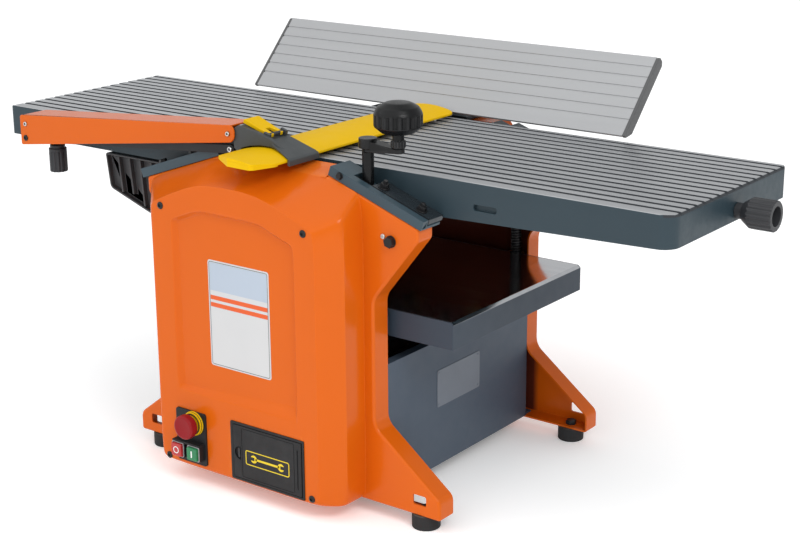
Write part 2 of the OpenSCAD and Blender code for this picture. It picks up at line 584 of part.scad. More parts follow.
// ---------- fence ----------
// a frame on the fence: X along it, Y into its thickness, Z up its face
module on_fence() translate([0, fence_f[0], fence_f[1]]) rotate([-fence_lean, 0, 0]) children();
module fence() color(alu) difference() {
  on_fence() difference() {
    yz(fence_x - fence_l / 2, fence_x + fence_l / 2) polygon(concat([[0, 0]],
      [for (i = [1:6]) let (z = fence_h * (0.063 + 0.134 * i)) each [[0, z - 1.6], [1.2, z - 1], [1.2, z + 1], [0, z + 1.6]]],
      [[0, fence_h], [fence_t, fence_h], [fence_t, fence_h - 20], [5, fence_h - 24], [5, 62], [9, 58], [fence_t, 46], [fence_t, 0]]));
    block([car_x - 37, 3.4, -1], [car_x + 37, fence_t + 1, 20]);
    // thin lip along the bottom
    block([fence_x - fence_l, 4, -1], [car_x - 50, fence_t + 1, 13]);
    block([car_x + 50, 4, -1], [fence_x + fence_l, fence_t + 1, 13]);
  }
  bar_x_(8.1, car_x - 50, car_x + 50, piv[0], piv[1]);
}
module fence_end_caps() color(black) on_fence() translate([fence_x, 0, 0]) both_x() {
  yz(fence_l / 2, fence_l / 2 + 5) polygon([[-0.5, -0.5], [4.5, -0.5], [fence_t + 1, 13], [fence_t + 1, fence_h - 4],
    [fence_t - 4, fence_h + 1], [2.5, fence_h + 1], [-0.5, fence_h - 2]]);
}
module fence_carriage() color([0.24, 0.25, 0.27]) {
  block([car_x - 21.6, 184, 461.4], [car_x + 21.6, y_back, 471]);
  for (x = [-19, 9]) translate([car_x + x, 0, 0]) {
    bar_x_(12, 0, 10, piv[0], piv[1]);
    yz(0, 10) polygon([[piv[0], piv[1] + 5.5], [186, 471], [186, 461.4], [180, 461.8], [piv[0], piv[1] - 5]]);
  }
  bar_x_(8, car_x - 48, car_x + 48, piv[0], piv[1]);
  bar_x_(7, car_x - 42, car_x - 21, 194, 466.2);
}
module fence_base() color(slate) difference() {
  union() {
    block([-87, 184, 455.4], [45, 256, 461]);
    for (x = [-84, 22]) block([x, 171, table_z - 16], [x + 12, 199, 455.4]);
    for (x = [-36, 22]) block([car_x + x, 222, 461], [car_x + x + 14, 254, 471.4]);
    block([car_x - 36, 222, 471.4], [car_x + 36, 254, 478]);
  }
  bar_z(8.1, 460, 480, car_x, 238);
}
module fence_slide_lever() color(black) {
  bar_z(8, 471.9, 480, car_x, 238);
  bar_z(24, 478.4, 488, car_x, 238);
  translate([car_x, 238, 480]) linear_extrude(7) polygon(rounded([[-6, 0, 0], [6, 0, 0], [5, 66, 4], [-5, 66, 4]]));
}
module fence_tilt_lever() color(black) difference() {
  union() {
    bar_x_(11, car_x - 40, car_x - 22, 194, 466.9);
    yz(car_x - 48, car_x - 40) polygon(rounded([[188.5, 462.5, 4], [199, 462.5, 4], [230, 480, 3], [226, 487, 3], [190, 472.5, 4]]));
  }
  bar_x_(7.1, car_x - 60, car_x - 20, 194, 466.2);
}

// ---------- switch and tool box ----------
module switch_box() color(black) difference() {
  union() {
    xz(-267, -264) polygon(rounded(box_pts(-131, 32, -76, 109, 4)));
    block([-126, -264, 36], [-81, -226, 102]);
    xz(-277, -267) polygon(rounded(box_pts(-131, 40, -79.5, 65.5, 3)));
    bar_y(35, -272, -267, estop[0], estop[1]);
  }
  bar_y(12.2, -280, -232, estop[0], estop[1]);
  for (x = button_at) {
    block([x - 9.7, -290, 42.3], [x + 9.7, -268, 61.7]);
    block([x - 4.9, -290, 47.1], [x + 4.9, -250, 56.9]);
  }
}
module estop_button() color([0.80, 0.08, 0.07]) {
  bar_y(12, -284, -242, estop[0], estop[1]);
  translate([estop[0], -277.5, estop[1]]) rotate([90, 0, 0]) rotate_extrude()
    polygon(rounded([[0, 0, 0], [16, 0, 0.6], [17.3, 1.6, 1], [17.3, 12.5, 2.4], [0, 12.5, 0]]));
}
// a cap in front of the plate on a stem through it
module push_button(x) {
  block([x - 9.3, -281.5, 42.7], [x + 9.3, -271.5, 61.3]);
  block([x - 4.5, -271.5, 47.5], [x + 4.5, -258, 56.5]);
}
module start_button() color([0.05, 0.45, 0.22]) push_button(button_at[1]);
module stop_button() color([0.75, 0.08, 0.07]) push_button(button_at[0]);
module toolbox_door() color(black) {
  difference() {
    xz(-266, -263) polygon(rounded([[-25.8, 32.2, 3], [92.4, 32.2, 0], [92.4, 108.5, 0], [-25.8, 108.5, 3]]));
    block([-23.4, -267, 59], [-12.4, -264.6, 78.5]);
  }
  // rounded hinge edge
  bar_z(2.8, 33, 107.7, 92.4, -264.5);
}
module toolbox_bin() color(black) difference() {
  union() {
    xz(-265.5, -264) polygon(rounded(box_pts(-31, 28, 98, 112.5, 4)));
    xz(-264, -260.4) polygon(rounded(box_pts(-28.6, 30, 96, 110.5, 2)));
    block([-25.5, -264, 33.5], [91, -216, 104.5]);
  }
  xz(-267, -261.9) polygon(rounded([[-26.4, 31.6, 3], [94.8, 31.6, 0.4], [94.8, 109.1, 0.4], [-26.4, 109.1, 3]]));
  block([-23.5, -270, 35.5], [89, -218, 102.5]);
}

// ---------- drawing ----------
module place() translate(off) children();
place() front_side_panel();
place() rear_side_panel();
place() cross_panels();
place() base_tray();
place() front_cover();
place() rear_cover();
place() rubber_feet();
place() frame_bolts();
place() cover_screws();
place() infeed_table();
place() outfeed_table();
place() table_brackets();
place() infeed_runners();
place() outfeed_runners();
place() infeed_runner_bolts();
place() cutter_block();
place() planer_knives();
place() knife_wedges();
place() cutter_bearings();
place() cutter_pulley();
place() motor();
place() motor_pulley();
place() drive_belt();
place() infeed_feed_roller();
place() outfeed_feed_roller();
place() roller_bushes();
place() feed_gearbox();
place() feed_chain();
place() kickback_rake();
place() thicknesser_bed();
place() bed_nuts();
place() lead_screw_front_infeed();
place() lead_screw_front_outfeed();
place() lead_screw_rear_infeed();
place() lead_screw_rear_outfeed();
place() screw_bushes();
place() lift_chain();
place() crank_arm();
place() crank_knob();
place() depth_knob();
place() chip_hood();
place() guard_bracket();
place() guard_arm();
place() guard_link();
place() guard_holder();
place() bridge_guard();
place() guard_clamp_lever();
place() guard_height_knob();
place() fence();
place() fence_end_caps();
place() fence_carriage();
place() fence_base();
place() fence_slide_lever();
place() fence_tilt_lever();
place() switch_box();
place() estop_button();
place() start_button();
place() stop_button();
place() toolbox_door();
place() toolbox_bin();
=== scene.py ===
import json
import math

import bmesh
import bpy
import numpy as np
from mathutils import Matrix, Vector


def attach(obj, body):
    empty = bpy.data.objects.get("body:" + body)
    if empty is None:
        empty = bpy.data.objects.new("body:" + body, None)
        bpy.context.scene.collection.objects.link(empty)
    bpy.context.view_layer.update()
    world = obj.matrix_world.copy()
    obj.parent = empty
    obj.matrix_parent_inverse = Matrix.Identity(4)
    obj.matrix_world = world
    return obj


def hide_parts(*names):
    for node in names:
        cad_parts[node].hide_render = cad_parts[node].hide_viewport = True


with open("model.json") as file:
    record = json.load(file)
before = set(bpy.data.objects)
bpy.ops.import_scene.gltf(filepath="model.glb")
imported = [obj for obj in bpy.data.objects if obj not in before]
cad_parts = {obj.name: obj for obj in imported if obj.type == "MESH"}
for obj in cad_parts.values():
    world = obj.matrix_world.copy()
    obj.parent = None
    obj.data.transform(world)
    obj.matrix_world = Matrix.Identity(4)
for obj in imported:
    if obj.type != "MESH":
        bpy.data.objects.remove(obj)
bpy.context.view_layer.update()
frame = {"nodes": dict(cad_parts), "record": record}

NODES = frame["nodes"]
BODY = {n: b for b, ns in frame["record"]["behaviour"]["bodies"].items() for n in ns}
SLOT = {s["node"]: s["material_slot"] for s in frame["record"]["subparts"]}

# Lengths below are in millimetres from the cutter axis (x), the middle of the
# tables (y) and the floor (z); P() turns them into the frame's metres.
DX, DY = -23.5, -30.0


def P(x, y, z):
    return Vector(((x + DX) * 0.001, (y + DY) * 0.001, z * 0.001))


# ---------------------------------------------------------------- materials
def new_mat(name):
    m = bpy.data.materials.new(name)
    m.use_nodes = True
    nt = m.node_tree
    nt.nodes.clear()
    out = nt.nodes.new("ShaderNodeOutputMaterial")
    b = nt.nodes.new("ShaderNodeBsdfPrincipled")
    nt.links.new(b.outputs[0], out.inputs[0])
    return m, nt, b


def coords(nt, stretch=None):
    tc = nt.nodes.new("ShaderNodeTexCoord")
    if stretch is None:
        return tc.outputs["Object"]
    mp = nt.nodes.new("ShaderNodeMapping")
    mp.inputs["Scale"].default_value = stretch
    nt.links.new(tc.outputs["Object"], mp.inputs["Vector"])
    return mp.outputs[0]


def noise(nt, scale, detail=4.0, rough=0.55, stretch=None, distort=0.0):
    n = nt.nodes.new("ShaderNodeTexNoise")
    n.inputs["Scale"].default_value = scale
    n.inputs["Detail"].default_value = detail
    n.inputs["Roughness"].default_value = rough
    n.inputs["Distortion"].default_value = distort
    nt.links.new(coords(nt, stretch), n.inputs["Vector"])
    return n.outputs["Fac"]


def remap(nt, value, a, b, lo, hi):
    r = nt.nodes.new("ShaderNodeMapRange")
    r.inputs["From Min"].default_value = a
    r.inputs["From Max"].default_value = b
    r.inputs["To Min"].default_value = lo
    r.inputs["To Max"].default_value = hi
    nt.links.new(value, r.inputs["Value"])
    return r.outputs[0]


def math_(nt, op, a, b):
    n = nt.nodes.new("ShaderNodeMath")
    n.operation = op
    for i, v in enumerate((a, b)):
        if isinstance(v, (int, float)):
            n.inputs[i].default_value = v
        else:
            nt.links.new(v, n.inputs[i])
    return n.outputs[0]


def mix(nt, fac, a, b):
    n = nt.nodes.new("ShaderNodeMix")
    n.data_type = "RGBA"
    nt.links.new(fac, n.inputs[0])
    for i, v in ((6, a), (7, b)):
        if isinstance(v, tuple):
            n.inputs[i].default_value = (*v, 1.0)
        else:
            nt.links.new(v, n.inputs[i])
    return n.outputs[2]


def shade(base, k):
    return tuple(min(1.0, c * k) for c in base)


def bump(nt, b, height, strength, dist):
    n = nt.nodes.new("ShaderNodeBump")
    n.inputs["Strength"].default_value = strength
    n.inputs["Distance"].default_value = dist
    nt.links.new(height, n.inputs["Height"])
    nt.links.new(n.outputs[0], b.inputs["Normal"])


def edge_mask(nt, lo=0.515, hi=0.57, breakup=60.0):
    g = nt.nodes.new("ShaderNodeNewGeometry")
    e = remap(nt, g.outputs["Pointiness"], lo, hi, 0.0, 1.0)
    n = remap(nt, noise(nt, breakup, 5.0, 0.6), 0.35, 0.7, 0.25, 1.0)
    return math_(nt, "MULTIPLY", e, n)


def finish_mat(name, base, rough=0.45, metal=0.0, var=0.08, var_scale=9.0, rv=0.07, rv_scale=45.0,
               grain=0.05, grain_scale=900.0, grain_d=0.0004, wear_and_highlight=None, wear_and_highlight_k=0.5, coat=0.0,
               coat_rough=0.12, stretch=None, streak=0.0, dust=0.0, spec=0.3, interior_shade=None):
    m, nt, b = new_mat(name)
    b.inputs["Metallic"].default_value = metal
    b.inputs["Specular IOR Level"].default_value = spec
    col = mix(nt, remap(nt, noise(nt, var_scale, 5.0, 0.6), 0.3, 0.7, 0.0, 1.0),
              shade(base, 1 - var), shade(base, 1 + var))
    if streak:
        s = remap(nt, noise(nt, 60.0, 4.0, 0.65, stretch), 0.3, 0.7, 0.0, streak)
        col = mix(nt, s, col, shade(base, 0.72))
    # lighter convex edges: rubbed wear on most finishes, and a painted highlight on the cover's ridge and the knob's
    # flutes
    if wear_and_highlight is not None:
        e = math_(nt, "MULTIPLY", edge_mask(nt), wear_and_highlight_k)
        col = mix(nt, e, col, wear_and_highlight)
    if dust:
        g = nt.nodes.new("ShaderNodeNewGeometry")
        s = nt.nodes.new("ShaderNodeSeparateXYZ")
        nt.links.new(g.outputs["Normal"], s.inputs[0])
        up = remap(nt, s.outputs["Z"], 0.4, 1.0, 0.0, dust)
        d = math_(nt, "MULTIPLY", up, remap(nt, noise(nt, 25.0, 6.0, 0.7), 0.35, 0.75, 0.2, 1.0))
        col = mix(nt, d, col, (0.55, 0.50, 0.44))
    if interior_shade is not None:
        # painted shade: a dark red-brown on the faces of a side panel that look into the machine, between the cross
        # panels, standing in for the shade within the machine
        tc = nt.nodes.new("ShaderNodeTexCoord")
        s = nt.nodes.new("ShaderNodeSeparateXYZ")
        nt.links.new(tc.outputs["Object"], s.inputs[0])
        g = nt.nodes.new("ShaderNodeNewGeometry")
        n = nt.nodes.new("ShaderNodeSeparateXYZ")
        nt.links.new(g.outputs["Normal"], n.inputs[0])
        y = math_(nt, "ADD", s.outputs["Y"], -DY * 0.001)
        web = remap(nt, math_(nt, "ABSOLUTE", y, 0.0), 0.1985, 0.1978, 0.0, 1.0)
        rim = remap(nt, math_(nt, "ABSOLUTE", y, 0.0), 0.1705, 0.1725, 0.0, 1.0)
        into = remap(nt, math_(nt, "MULTIPLY", n.outputs["Y"], math_(nt, "SIGN", y, 0.0)), -0.3, -0.7, 0.0, 1.0)
        x = math_(nt, "ABSOLUTE", math_(nt, "ADD", s.outputs["X"], -DX * 0.001), 0.0)
        middle = remap(nt, x, 0.170, 0.160, 0.0, 1.0)
        k = math_(nt, "MULTIPLY", math_(nt, "MULTIPLY", math_(nt, "MULTIPLY", web, rim), into), middle)
        col = mix(nt, k, col, interior_shade)
    nt.links.new(col, b.inputs["Base Color"])
    r = remap(nt, noise(nt, rv_scale, 6.0, 0.6, stretch), 0.3, 0.7, max(0.02, rough - rv), rough + rv)
    nt.links.new(r, b.inputs["Roughness"])
    if coat:
        b.inputs["Coat Weight"].default_value = coat
        b.inputs["Coat Roughness"].default_value = coat_rough
    bump(nt, b, noise(nt, grain_scale, 3.0, 0.5, stretch), grain, grain_d)
    return m


ORANGE = (0.600, 0.106, 0.004)
SLATE = (0.022, 0.039, 0.050)
PALE_SLATE = (0.053, 0.073, 0.102)
M = {}
ORANGE_KW = dict(rough=0.20, var=0.025, var_scale=5, rv=0.04, grain=0.012, grain_scale=420, grain_d=0.0003,
                 wear_and_highlight=(0.76, 0.20, 0.03), wear_and_highlight_k=0.4, spec=0.17)
# painted highlight: the cover keeps paler orange convex edges, along its ridge most of all; the other orange parts drop
# them
M["orange"] = finish_mat("orange_gloss_paint", ORANGE, **ORANGE_KW)
ORANGE_KW["wear_and_highlight"] = None
# painted shade: the side panels' faces into the machine take a dark red-brown
M["orange_panel"] = finish_mat("orange_panel_paint", ORANGE, interior_shade=(0.11, 0.022, 0.012), **ORANGE_KW)
M["orange_flat"] = finish_mat("orange_sheet_paint", ORANGE, **ORANGE_KW)
M["slate"] = finish_mat("slate_paint", SLATE, 0.40, var=0.03, grain=0.06, grain_scale=1300)
M["pale_slate"] = finish_mat("pale_slate_paint", PALE_SLATE, 0.44, var=0.025, grain=0.06, grain_scale=1300)
M["black"] = finish_mat("black_plastic", (0.0118, 0.0122, 0.0130), 0.48, var=0.12, grain=0.12, grain_scale=2200,
                        wear_and_highlight=(0.05, 0.05, 0.053), wear_and_highlight_k=0.3, spec=0.22)
M["hood"] = finish_mat("hood_plastic", (0.055, 0.055, 0.058), 0.46, var=0.10, grain=0.12, grain_scale=2000,
                       wear_and_highlight=(0.10, 0.10, 0.105), wear_and_highlight_k=0.5)
M["charcoal"] = finish_mat("charcoal_plastic", (0.026, 0.027, 0.030), 0.44, var=0.10, grain=0.10, grain_scale=2000,
                           wear_and_highlight=(0.08, 0.08, 0.084), wear_and_highlight_k=0.4)
M["holder"] = finish_mat("holder_plastic", (0.047, 0.052, 0.054), 0.44, var=0.06, grain=0.10, grain_scale=2000)
# painted highlight: the knob's flute edges lighten to grey
M["knob"] = finish_mat("knob_plastic", (0.0042, 0.0045, 0.005), 0.30, var=0.12, grain=0.07, grain_scale=2000,
                       wear_and_highlight=(0.08, 0.08, 0.084), wear_and_highlight_k=0.5, spec=0.22)
M["rubber"] = finish_mat("black_rubber", (0.020, 0.020, 0.021), 0.78, var=0.15, grain=0.18, grain_scale=1500,
                         dust=0.25)
M["black_steel"] = finish_mat("black_oxide_steel", (0.030, 0.030, 0.032), 0.38, metal=0.55, var=0.18, grain=0.05,
                              wear_and_highlight=(0.25, 0.25, 0.25), wear_and_highlight_k=0.6)
M["steel"] = finish_mat("bright_steel", (0.55, 0.55, 0.56), 0.26, metal=1.0, var=0.06, grain=0.05, grain_scale=1500)
M["zinc"] = finish_mat("zinc_plated_steel", (0.58, 0.58, 0.57), 0.32, metal=1.0, var=0.10, var_scale=200, grain=0.05)
M["chain"] = finish_mat("oiled_chain_steel", (0.13, 0.12, 0.11), 0.42, metal=0.8, var=0.25, var_scale=120, grain=0.1)
M["bronze"] = finish_mat("bronze", (0.50, 0.32, 0.13), 0.36, metal=1.0, var=0.12, grain=0.06)
M["motor"] = finish_mat("cast_motor_grey", (0.055, 0.058, 0.062), 0.55, var=0.14, grain=0.25, grain_scale=700)
M["yellow"] = finish_mat("yellow_plastic", (0.68, 0.41, 0.001), 0.50, var=0.03, grain=0.05, grain_scale=1500,
                         wear_and_highlight=(0.78, 0.52, 0.03), wear_and_highlight_k=0.3, spec=0.06)
M["red"] = finish_mat("red_plastic", (0.235, 0.0085, 0.012), 0.32, var=0.06, grain=0.05, grain_scale=1600,
                      wear_and_highlight=(0.42, 0.04, 0.04), wear_and_highlight_k=0.2, spec=0.14)
M["button_red"] = finish_mat("button_red", (0.42, 0.020, 0.022), 0.22, var=0.08, grain=0.03, grain_scale=900,
                             coat=0.4, coat_rough=0.08)
M["button_green"] = finish_mat("button_green", (0.006, 0.17, 0.06), 0.22, var=0.08, grain=0.03, grain_scale=900,
                               coat=0.4, coat_rough=0.08)
M["white"] = finish_mat("white_print", (0.80, 0.80, 0.79), 0.5, var=0.04, grain=0.04)
M["yellow_print"] = finish_mat("yellow_print", (0.70, 0.52, 0.02), 0.5, var=0.05, grain=0.04)
M["fence"] = finish_mat("anodised_fence", (0.365, 0.37, 0.378), 0.50, metal=0.25, var=0.02, var_scale=3, rv=0.05,
                        rv_scale=60, grain=0.08, grain_scale=500, grain_d=0.0003, stretch=(0.06, 1.0, 1.0),
                        streak=0.05)
M["plate"] = finish_mat("blank_plate", (0.55, 0.555, 0.56), 0.45, metal=0.1, var=0.02, grain=0.03, grain_scale=600)
M["plate_blue"] = finish_mat("pale_blue_print", (0.40, 0.46, 0.54), 0.45, var=0.02, grain=0.03, grain_scale=600)
M["orange_print"] = finish_mat("orange_print", (0.66, 0.10, 0.02), 0.45, var=0.03, grain=0.03, grain_scale=600)
M["plate_rim"] = finish_mat("plate_border", (0.10, 0.105, 0.11), 0.45, var=0.05, grain=0.03, grain_scale=600)
M["bolt"] = finish_mat("black_bolt", (0.011, 0.011, 0.012), 0.36, var=0.18, grain=0.05, spec=0.28)
M["bracket"] = finish_mat("bracket_paint", shade(SLATE, 1.45), 0.36, var=0.04, grain=0.07, grain_scale=1300, spec=0.35)
M["link"] = finish_mat("link_paint", (0.017, 0.0175, 0.019), 0.50, var=0.08, grain=0.06, grain_scale=1500, spec=0.25)
M["cap"] = finish_mat("cap_plastic", (0.088, 0.089, 0.091), 0.46, var=0.05, grain=0.10, grain_scale=2000, spec=0.3)
M["hood_clear"] = finish_mat("pale_hood", (0.34, 0.35, 0.36), 0.24, var=0.05, grain=0.03, grain_scale=900, spec=0.5)
# painted shade: a near-black, dull finish for the strips in the gaps beside the runners
M["strip"] = finish_mat("gap_shade_strip", (0.004, 0.004, 0.0045), 0.60, var=0.15, grain=0.12, grain_scale=1500, spec=0.1)
M["runner"] = finish_mat("runner_paint", (0.018, 0.024, 0.029), 0.28, var=0.05, grain=0.05, grain_scale=1300, spec=0.4)
M["plate_dark"] = finish_mat("dull_plate", (0.145, 0.165, 0.195), 0.42, metal=0.1, var=0.03, grain=0.03, grain_scale=600)
M["belt"] = finish_mat("ribbed_belt", (0.018, 0.018, 0.018), 0.7, var=0.15, grain=0.3, grain_scale=600)


def table_material(name, k):
    m, nt, b = new_mat(name)
    tc = nt.nodes.new("ShaderNodeTexCoord")
    s = nt.nodes.new("ShaderNodeSeparateXYZ")
    nt.links.new(tc.outputs["Object"], s.inputs[0])
    n = nt.nodes.new("ShaderNodeSeparateXYZ")
    nt.links.new(tc.outputs["Normal"], n.inputs[0])
    up = remap(nt, n.outputs["Z"], 0.45, 0.75, 0.0, 1.0)
    top = math_(nt, "MULTIPLY", remap(nt, s.outputs["Z"], 0.4641, 0.4645, 0.0, 1.0), up)
    side = math_(nt, "ABSOLUTE", math_(nt, "ADD", s.outputs["Y"], -DY * 0.001), 0.0)
    # painted shade: the groove walls and floors take a darker slate than the painted sides
    groove_shade = math_(nt, "MULTIPLY", remap(nt, s.outputs["Z"], 0.4612, 0.4616, 0.0, 1.0),
                   remap(nt, side, 0.1540, 0.1535, 0.0, 1.0))
    paint = mix(nt, remap(nt, noise(nt, 9, 5, 0.6), 0.3, 0.7, 0, 1), shade(SLATE, 0.96), shade(SLATE, 1.04))
    dark = mix(nt, groove_shade, paint, (0.022, 0.026, 0.031))
    streak = remap(nt, noise(nt, 70, 5, 0.65, (0.03, 1.0, 1.0)), 0.3, 0.7, 0, 1)
    metal = mix(nt, streak, shade((0.40, 0.41, 0.425), k), shade((0.50, 0.51, 0.525), k))
    nt.links.new(mix(nt, top, dark, metal), b.inputs["Base Color"])
    nt.links.new(math_(nt, "MULTIPLY", top, 0.8), b.inputs["Metallic"])
    b.inputs["Specular IOR Level"].default_value = 0.3
    rough = math_(nt, "ADD", remap(nt, noise(nt, 90, 6, 0.6, (0.05, 1, 1)), 0.3, 0.7, 0.36, 0.50),
                  math_(nt, "MULTIPLY", top, -0.06))
    nt.links.new(rough, b.inputs["Roughness"])
    bump(nt, b, noise(nt, 700, 3, 0.5, (0.15, 1, 1)), 0.12, 0.0003)
    return m


def bed_material():
    m, nt, b = new_mat("bed_casting")
    b.inputs["Specular IOR Level"].default_value = 0.25
    tc = nt.nodes.new("ShaderNodeTexCoord")
    s = nt.nodes.new("ShaderNodeSeparateXYZ")
    nt.links.new(tc.outputs["Object"], s.inputs[0])
    n = nt.nodes.new("ShaderNodeSeparateXYZ")
    nt.links.new(tc.outputs["Normal"], n.inputs[0])
    up = remap(nt, n.outputs["Z"], 0.30, 0.50, 0.0, 1.0)
    top = math_(nt, "MULTIPLY", remap(nt, s.outputs["Z"], 0.2740, 0.2743, 0.0, 1.0), up)
    # the painted casting shows as a fine line along each long edge
    side = math_(nt, "ABSOLUTE", math_(nt, "ADD", s.outputs["Y"], -DY * 0.001), 0.0)
    top = math_(nt, "MULTIPLY", top, remap(nt, side, 0.1563, 0.1558, 0.0, 1.0))
    paint = mix(nt, remap(nt, noise(nt, 9, 5, 0.6), 0.3, 0.7, 0, 1), shade(PALE_SLATE, 0.60), shade(PALE_SLATE, 0.65))
    streak = remap(nt, noise(nt, 50, 5, 0.65, (0.04, 1.0, 1.0)), 0.3, 0.7, 0, 1)
    metal = mix(nt, streak, (0.54, 0.55, 0.575), (0.62, 0.63, 0.65))
    nt.links.new(mix(nt, top, paint, metal), b.inputs["Base Color"])
    nt.links.new(top, b.inputs["Metallic"])
    polish = remap(nt, noise(nt, 60, 5, 0.6, (0.1, 1, 1)), 0.3, 0.7, 0.10, 0.17)
    cast = remap(nt, noise(nt, 60, 5, 0.6), 0.3, 0.7, 0.42, 0.52)
    r = nt.nodes.new("ShaderNodeMix")
    nt.links.new(top, r.inputs[0])
    nt.links.new(cast, r.inputs[2])
    nt.links.new(polish, r.inputs[3])
    nt.links.new(r.outputs[0], b.inputs["Roughness"])
    bump(nt, b, noise(nt, 900, 3, 0.5), 0.02, 0.0002)
    return m


# painted sheen: both tables share one finish, and the outfeed copy's machined tops are brighter (1.18 against 0.98) to
# stand in for the sheen they catch
M["table"] = table_material("ribbed_table_painted_sheen", 1.18)
M["infeed_table"] = table_material("ribbed_infeed_table", 0.98)
M["bed"] = bed_material()


# ---------------------------------------------------------------- mesh tools
def link(name, me):
    o = bpy.data.objects.new(name, me)
    bpy.context.scene.collection.objects.link(o)
    return o


def from_bm(name, bm, normals=True):
    if normals:
        bmesh.ops.recalc_face_normals(bm, faces=bm.faces)
    me = bpy.data.meshes.new(name)
    bm.to_mesh(me)
    bm.free()
    return link(name, me)


def bake(o):
    bpy.context.view_layer.update()
    dg = bpy.context.evaluated_depsgraph_get()
    me = bpy.data.meshes.new_from_object(o.evaluated_get(dg), preserve_all_data_layers=True, depsgraph=dg)
    o.modifiers.clear()
    o.data = me
    return o


def round_edges(o, width, seg=2, angle=35.0, clamp=False):
    if width > 0:
        m = o.modifiers.new("round", "BEVEL")
        m.width = width * 0.001
        m.segments = seg
        m.limit_method = "ANGLE"
        m.angle_limit = math.radians(angle)
        m.use_clamp_overlap = clamp
        bake(o)
    return o


def smooth(o, angle=42.0, weighted=True):
    o.data.shade_smooth()
    o.data.set_sharp_from_angle(angle=math.radians(angle))
    if weighted:
        m = o.modifiers.new("normals", "WEIGHTED_NORMAL")
        m.keep_sharp = True
        m.weight = 60
        bake(o)
    return o


def dress(o, mat, body, slot=None, nodes=()):
    o.data.materials.clear()
    o.data.materials.append(M[mat] if isinstance(mat, str) else mat)
    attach(o, body)
    if nodes:
        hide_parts(*nodes)
        slot = slot or SLOT[nodes[0]]
    return o


def node_bm(node, merge=True):
    """The node's shape as a clean mesh of its flat faces."""
    src = NODES[node].data
    me = bpy.data.meshes.new(node + "_tmp")
    me.from_pydata([v.co[:] for v in src.vertices], [], [tuple(p.vertices) for p in src.polygons])
    bm = bmesh.new()
    bm.from_mesh(me)
    bpy.data.meshes.remove(me)
    bmesh.ops.remove_doubles(bm, verts=bm.verts, dist=2e-6)
    bmesh.ops.dissolve_degenerate(bm, edges=bm.edges, dist=1e-6)
    if merge:
        bmesh.ops.dissolve_limit(bm, angle_limit=math.radians(0.5), verts=bm.verts, edges=bm.edges)
    return bm


def refine(node, mat, width=0.6, seg=2, angle=35.0, sharp=42.0, clamp=False, extra=None, name=None):
    """A finished copy of a node with its edges broken."""
    bm = node_bm(node)
    lo = [min(v.co[k] for v in bm.verts) for k in range(3)]
    hi = [max(v.co[k] for v in bm.verts) for k in range(3)]
    o = from_bm(name or node + "_finished", bm)
    round_edges(o, width, seg, angle, clamp)
    for v in o.data.vertices:
        v.co = [min(max(v.co[k], lo[k]), hi[k]) for k in range(3)]
    if extra:
        extra(o)
    smooth(o, sharp)
    return dress(o, mat, BODY[node], nodes=(node,))


def boolean(o, cutter, op="DIFFERENCE"):
    m = o.modifiers.new("cut", "BOOLEAN")
    m.operation = op
    m.solver = "EXACT"
    m.object = cutter
    bake(o)
    me = cutter.data
    bpy.data.objects.remove(cutter)
    bpy.data.meshes.remove(me)
    return o


def add_box(bm, a, b):
    v = [bm.verts.new(P(x, y, z)) for x in (a[0], b[0]) for y in (a[1], b[1]) for z in (a[2], b[2])]
    for f in ((0, 1, 3, 2), (4, 6, 7, 5), (0, 4, 5, 1), (2, 3, 7, 6), (0, 2, 6, 4), (1, 5, 7, 3)):
        bm.faces.new([v[i] for i in f])


def add_prism(bm, pts, place, h0, h1):
    """A flat outline between two heights; place(u, v, h) gives the point in millimetres."""
    lo = [bm.verts.new(P(*place(u, v, h0))) for u, v in pts]
    hi = [bm.verts.new(P(*place(u, v, h1))) for u, v in pts]
    bm.faces.new(lo)
    bm.faces.new(hi[::-1])
    n = len(pts)
    for i in range(n):
        bm.faces.new((lo[i], lo[(i + 1) % n], hi[(i + 1) % n], hi[i]))


def add_ring(bm, outer, inner, place, h0, h1):
    """A flat ring between two outlines of as many points each."""
    n = len(outer)
    loops = [[bm.verts.new(P(*place(u, v, h))) for u, v in pts]
             for pts, h in ((outer, h0), (outer, h1), (inner, h1), (inner, h0))]
    for k in range(4):
        a, c = loops[k], loops[(k + 1) % 4]
        for i in range(n):
            bm.faces.new((a[i], a[(i + 1) % n], c[(i + 1) % n], c[i]))


def add_lathe(bm, prof, origin, axis, seg=32, phase=0.0, wave=None):
    """Turns a profile of (radius, height) about an axis, all in millimetres."""
    axis = Vector(axis).normalized()
    u = axis.orthogonal().normalized()
    v = axis.cross(u)
    rings = []
    for k, (r, h) in enumerate(prof):
        c = Vector(origin) + axis * h
        if r < 1e-6:
            rings.append([bm.verts.new(P(*c))])
            continue
        ring = []
        for i in range(seg):
            a = 2 * math.pi * i / seg + phase
            q = r + (wave(k, a) if wave else 0.0)
            ring.append(bm.verts.new(P(*(c + (u * math.cos(a) + v * math.sin(a)) * q))))
        rings.append(ring)
    for a, c in zip(rings, rings[1:]):
        for i in range(seg):
            j = (i + 1) % seg
            q = [a[i % len(a)], a[j % len(a)], c[j % len(c)], c[i % len(c)]]
            q = [w for k, w in enumerate(q) if w not in q[:k]]
            if len(q) > 2:
                bm.faces.new(q)


def xz_at(y_sign=1):
    return lambda u, v, h: (u, h, v)


def arc(cx, cy, r, a0, a1, n):
    return [(cx + r * math.cos(math.radians(a0 + (a1 - a0) * i / n)),
             cy + r * math.sin(math.radians(a0 + (a1 - a0) * i / n))) for i in range(n + 1)]


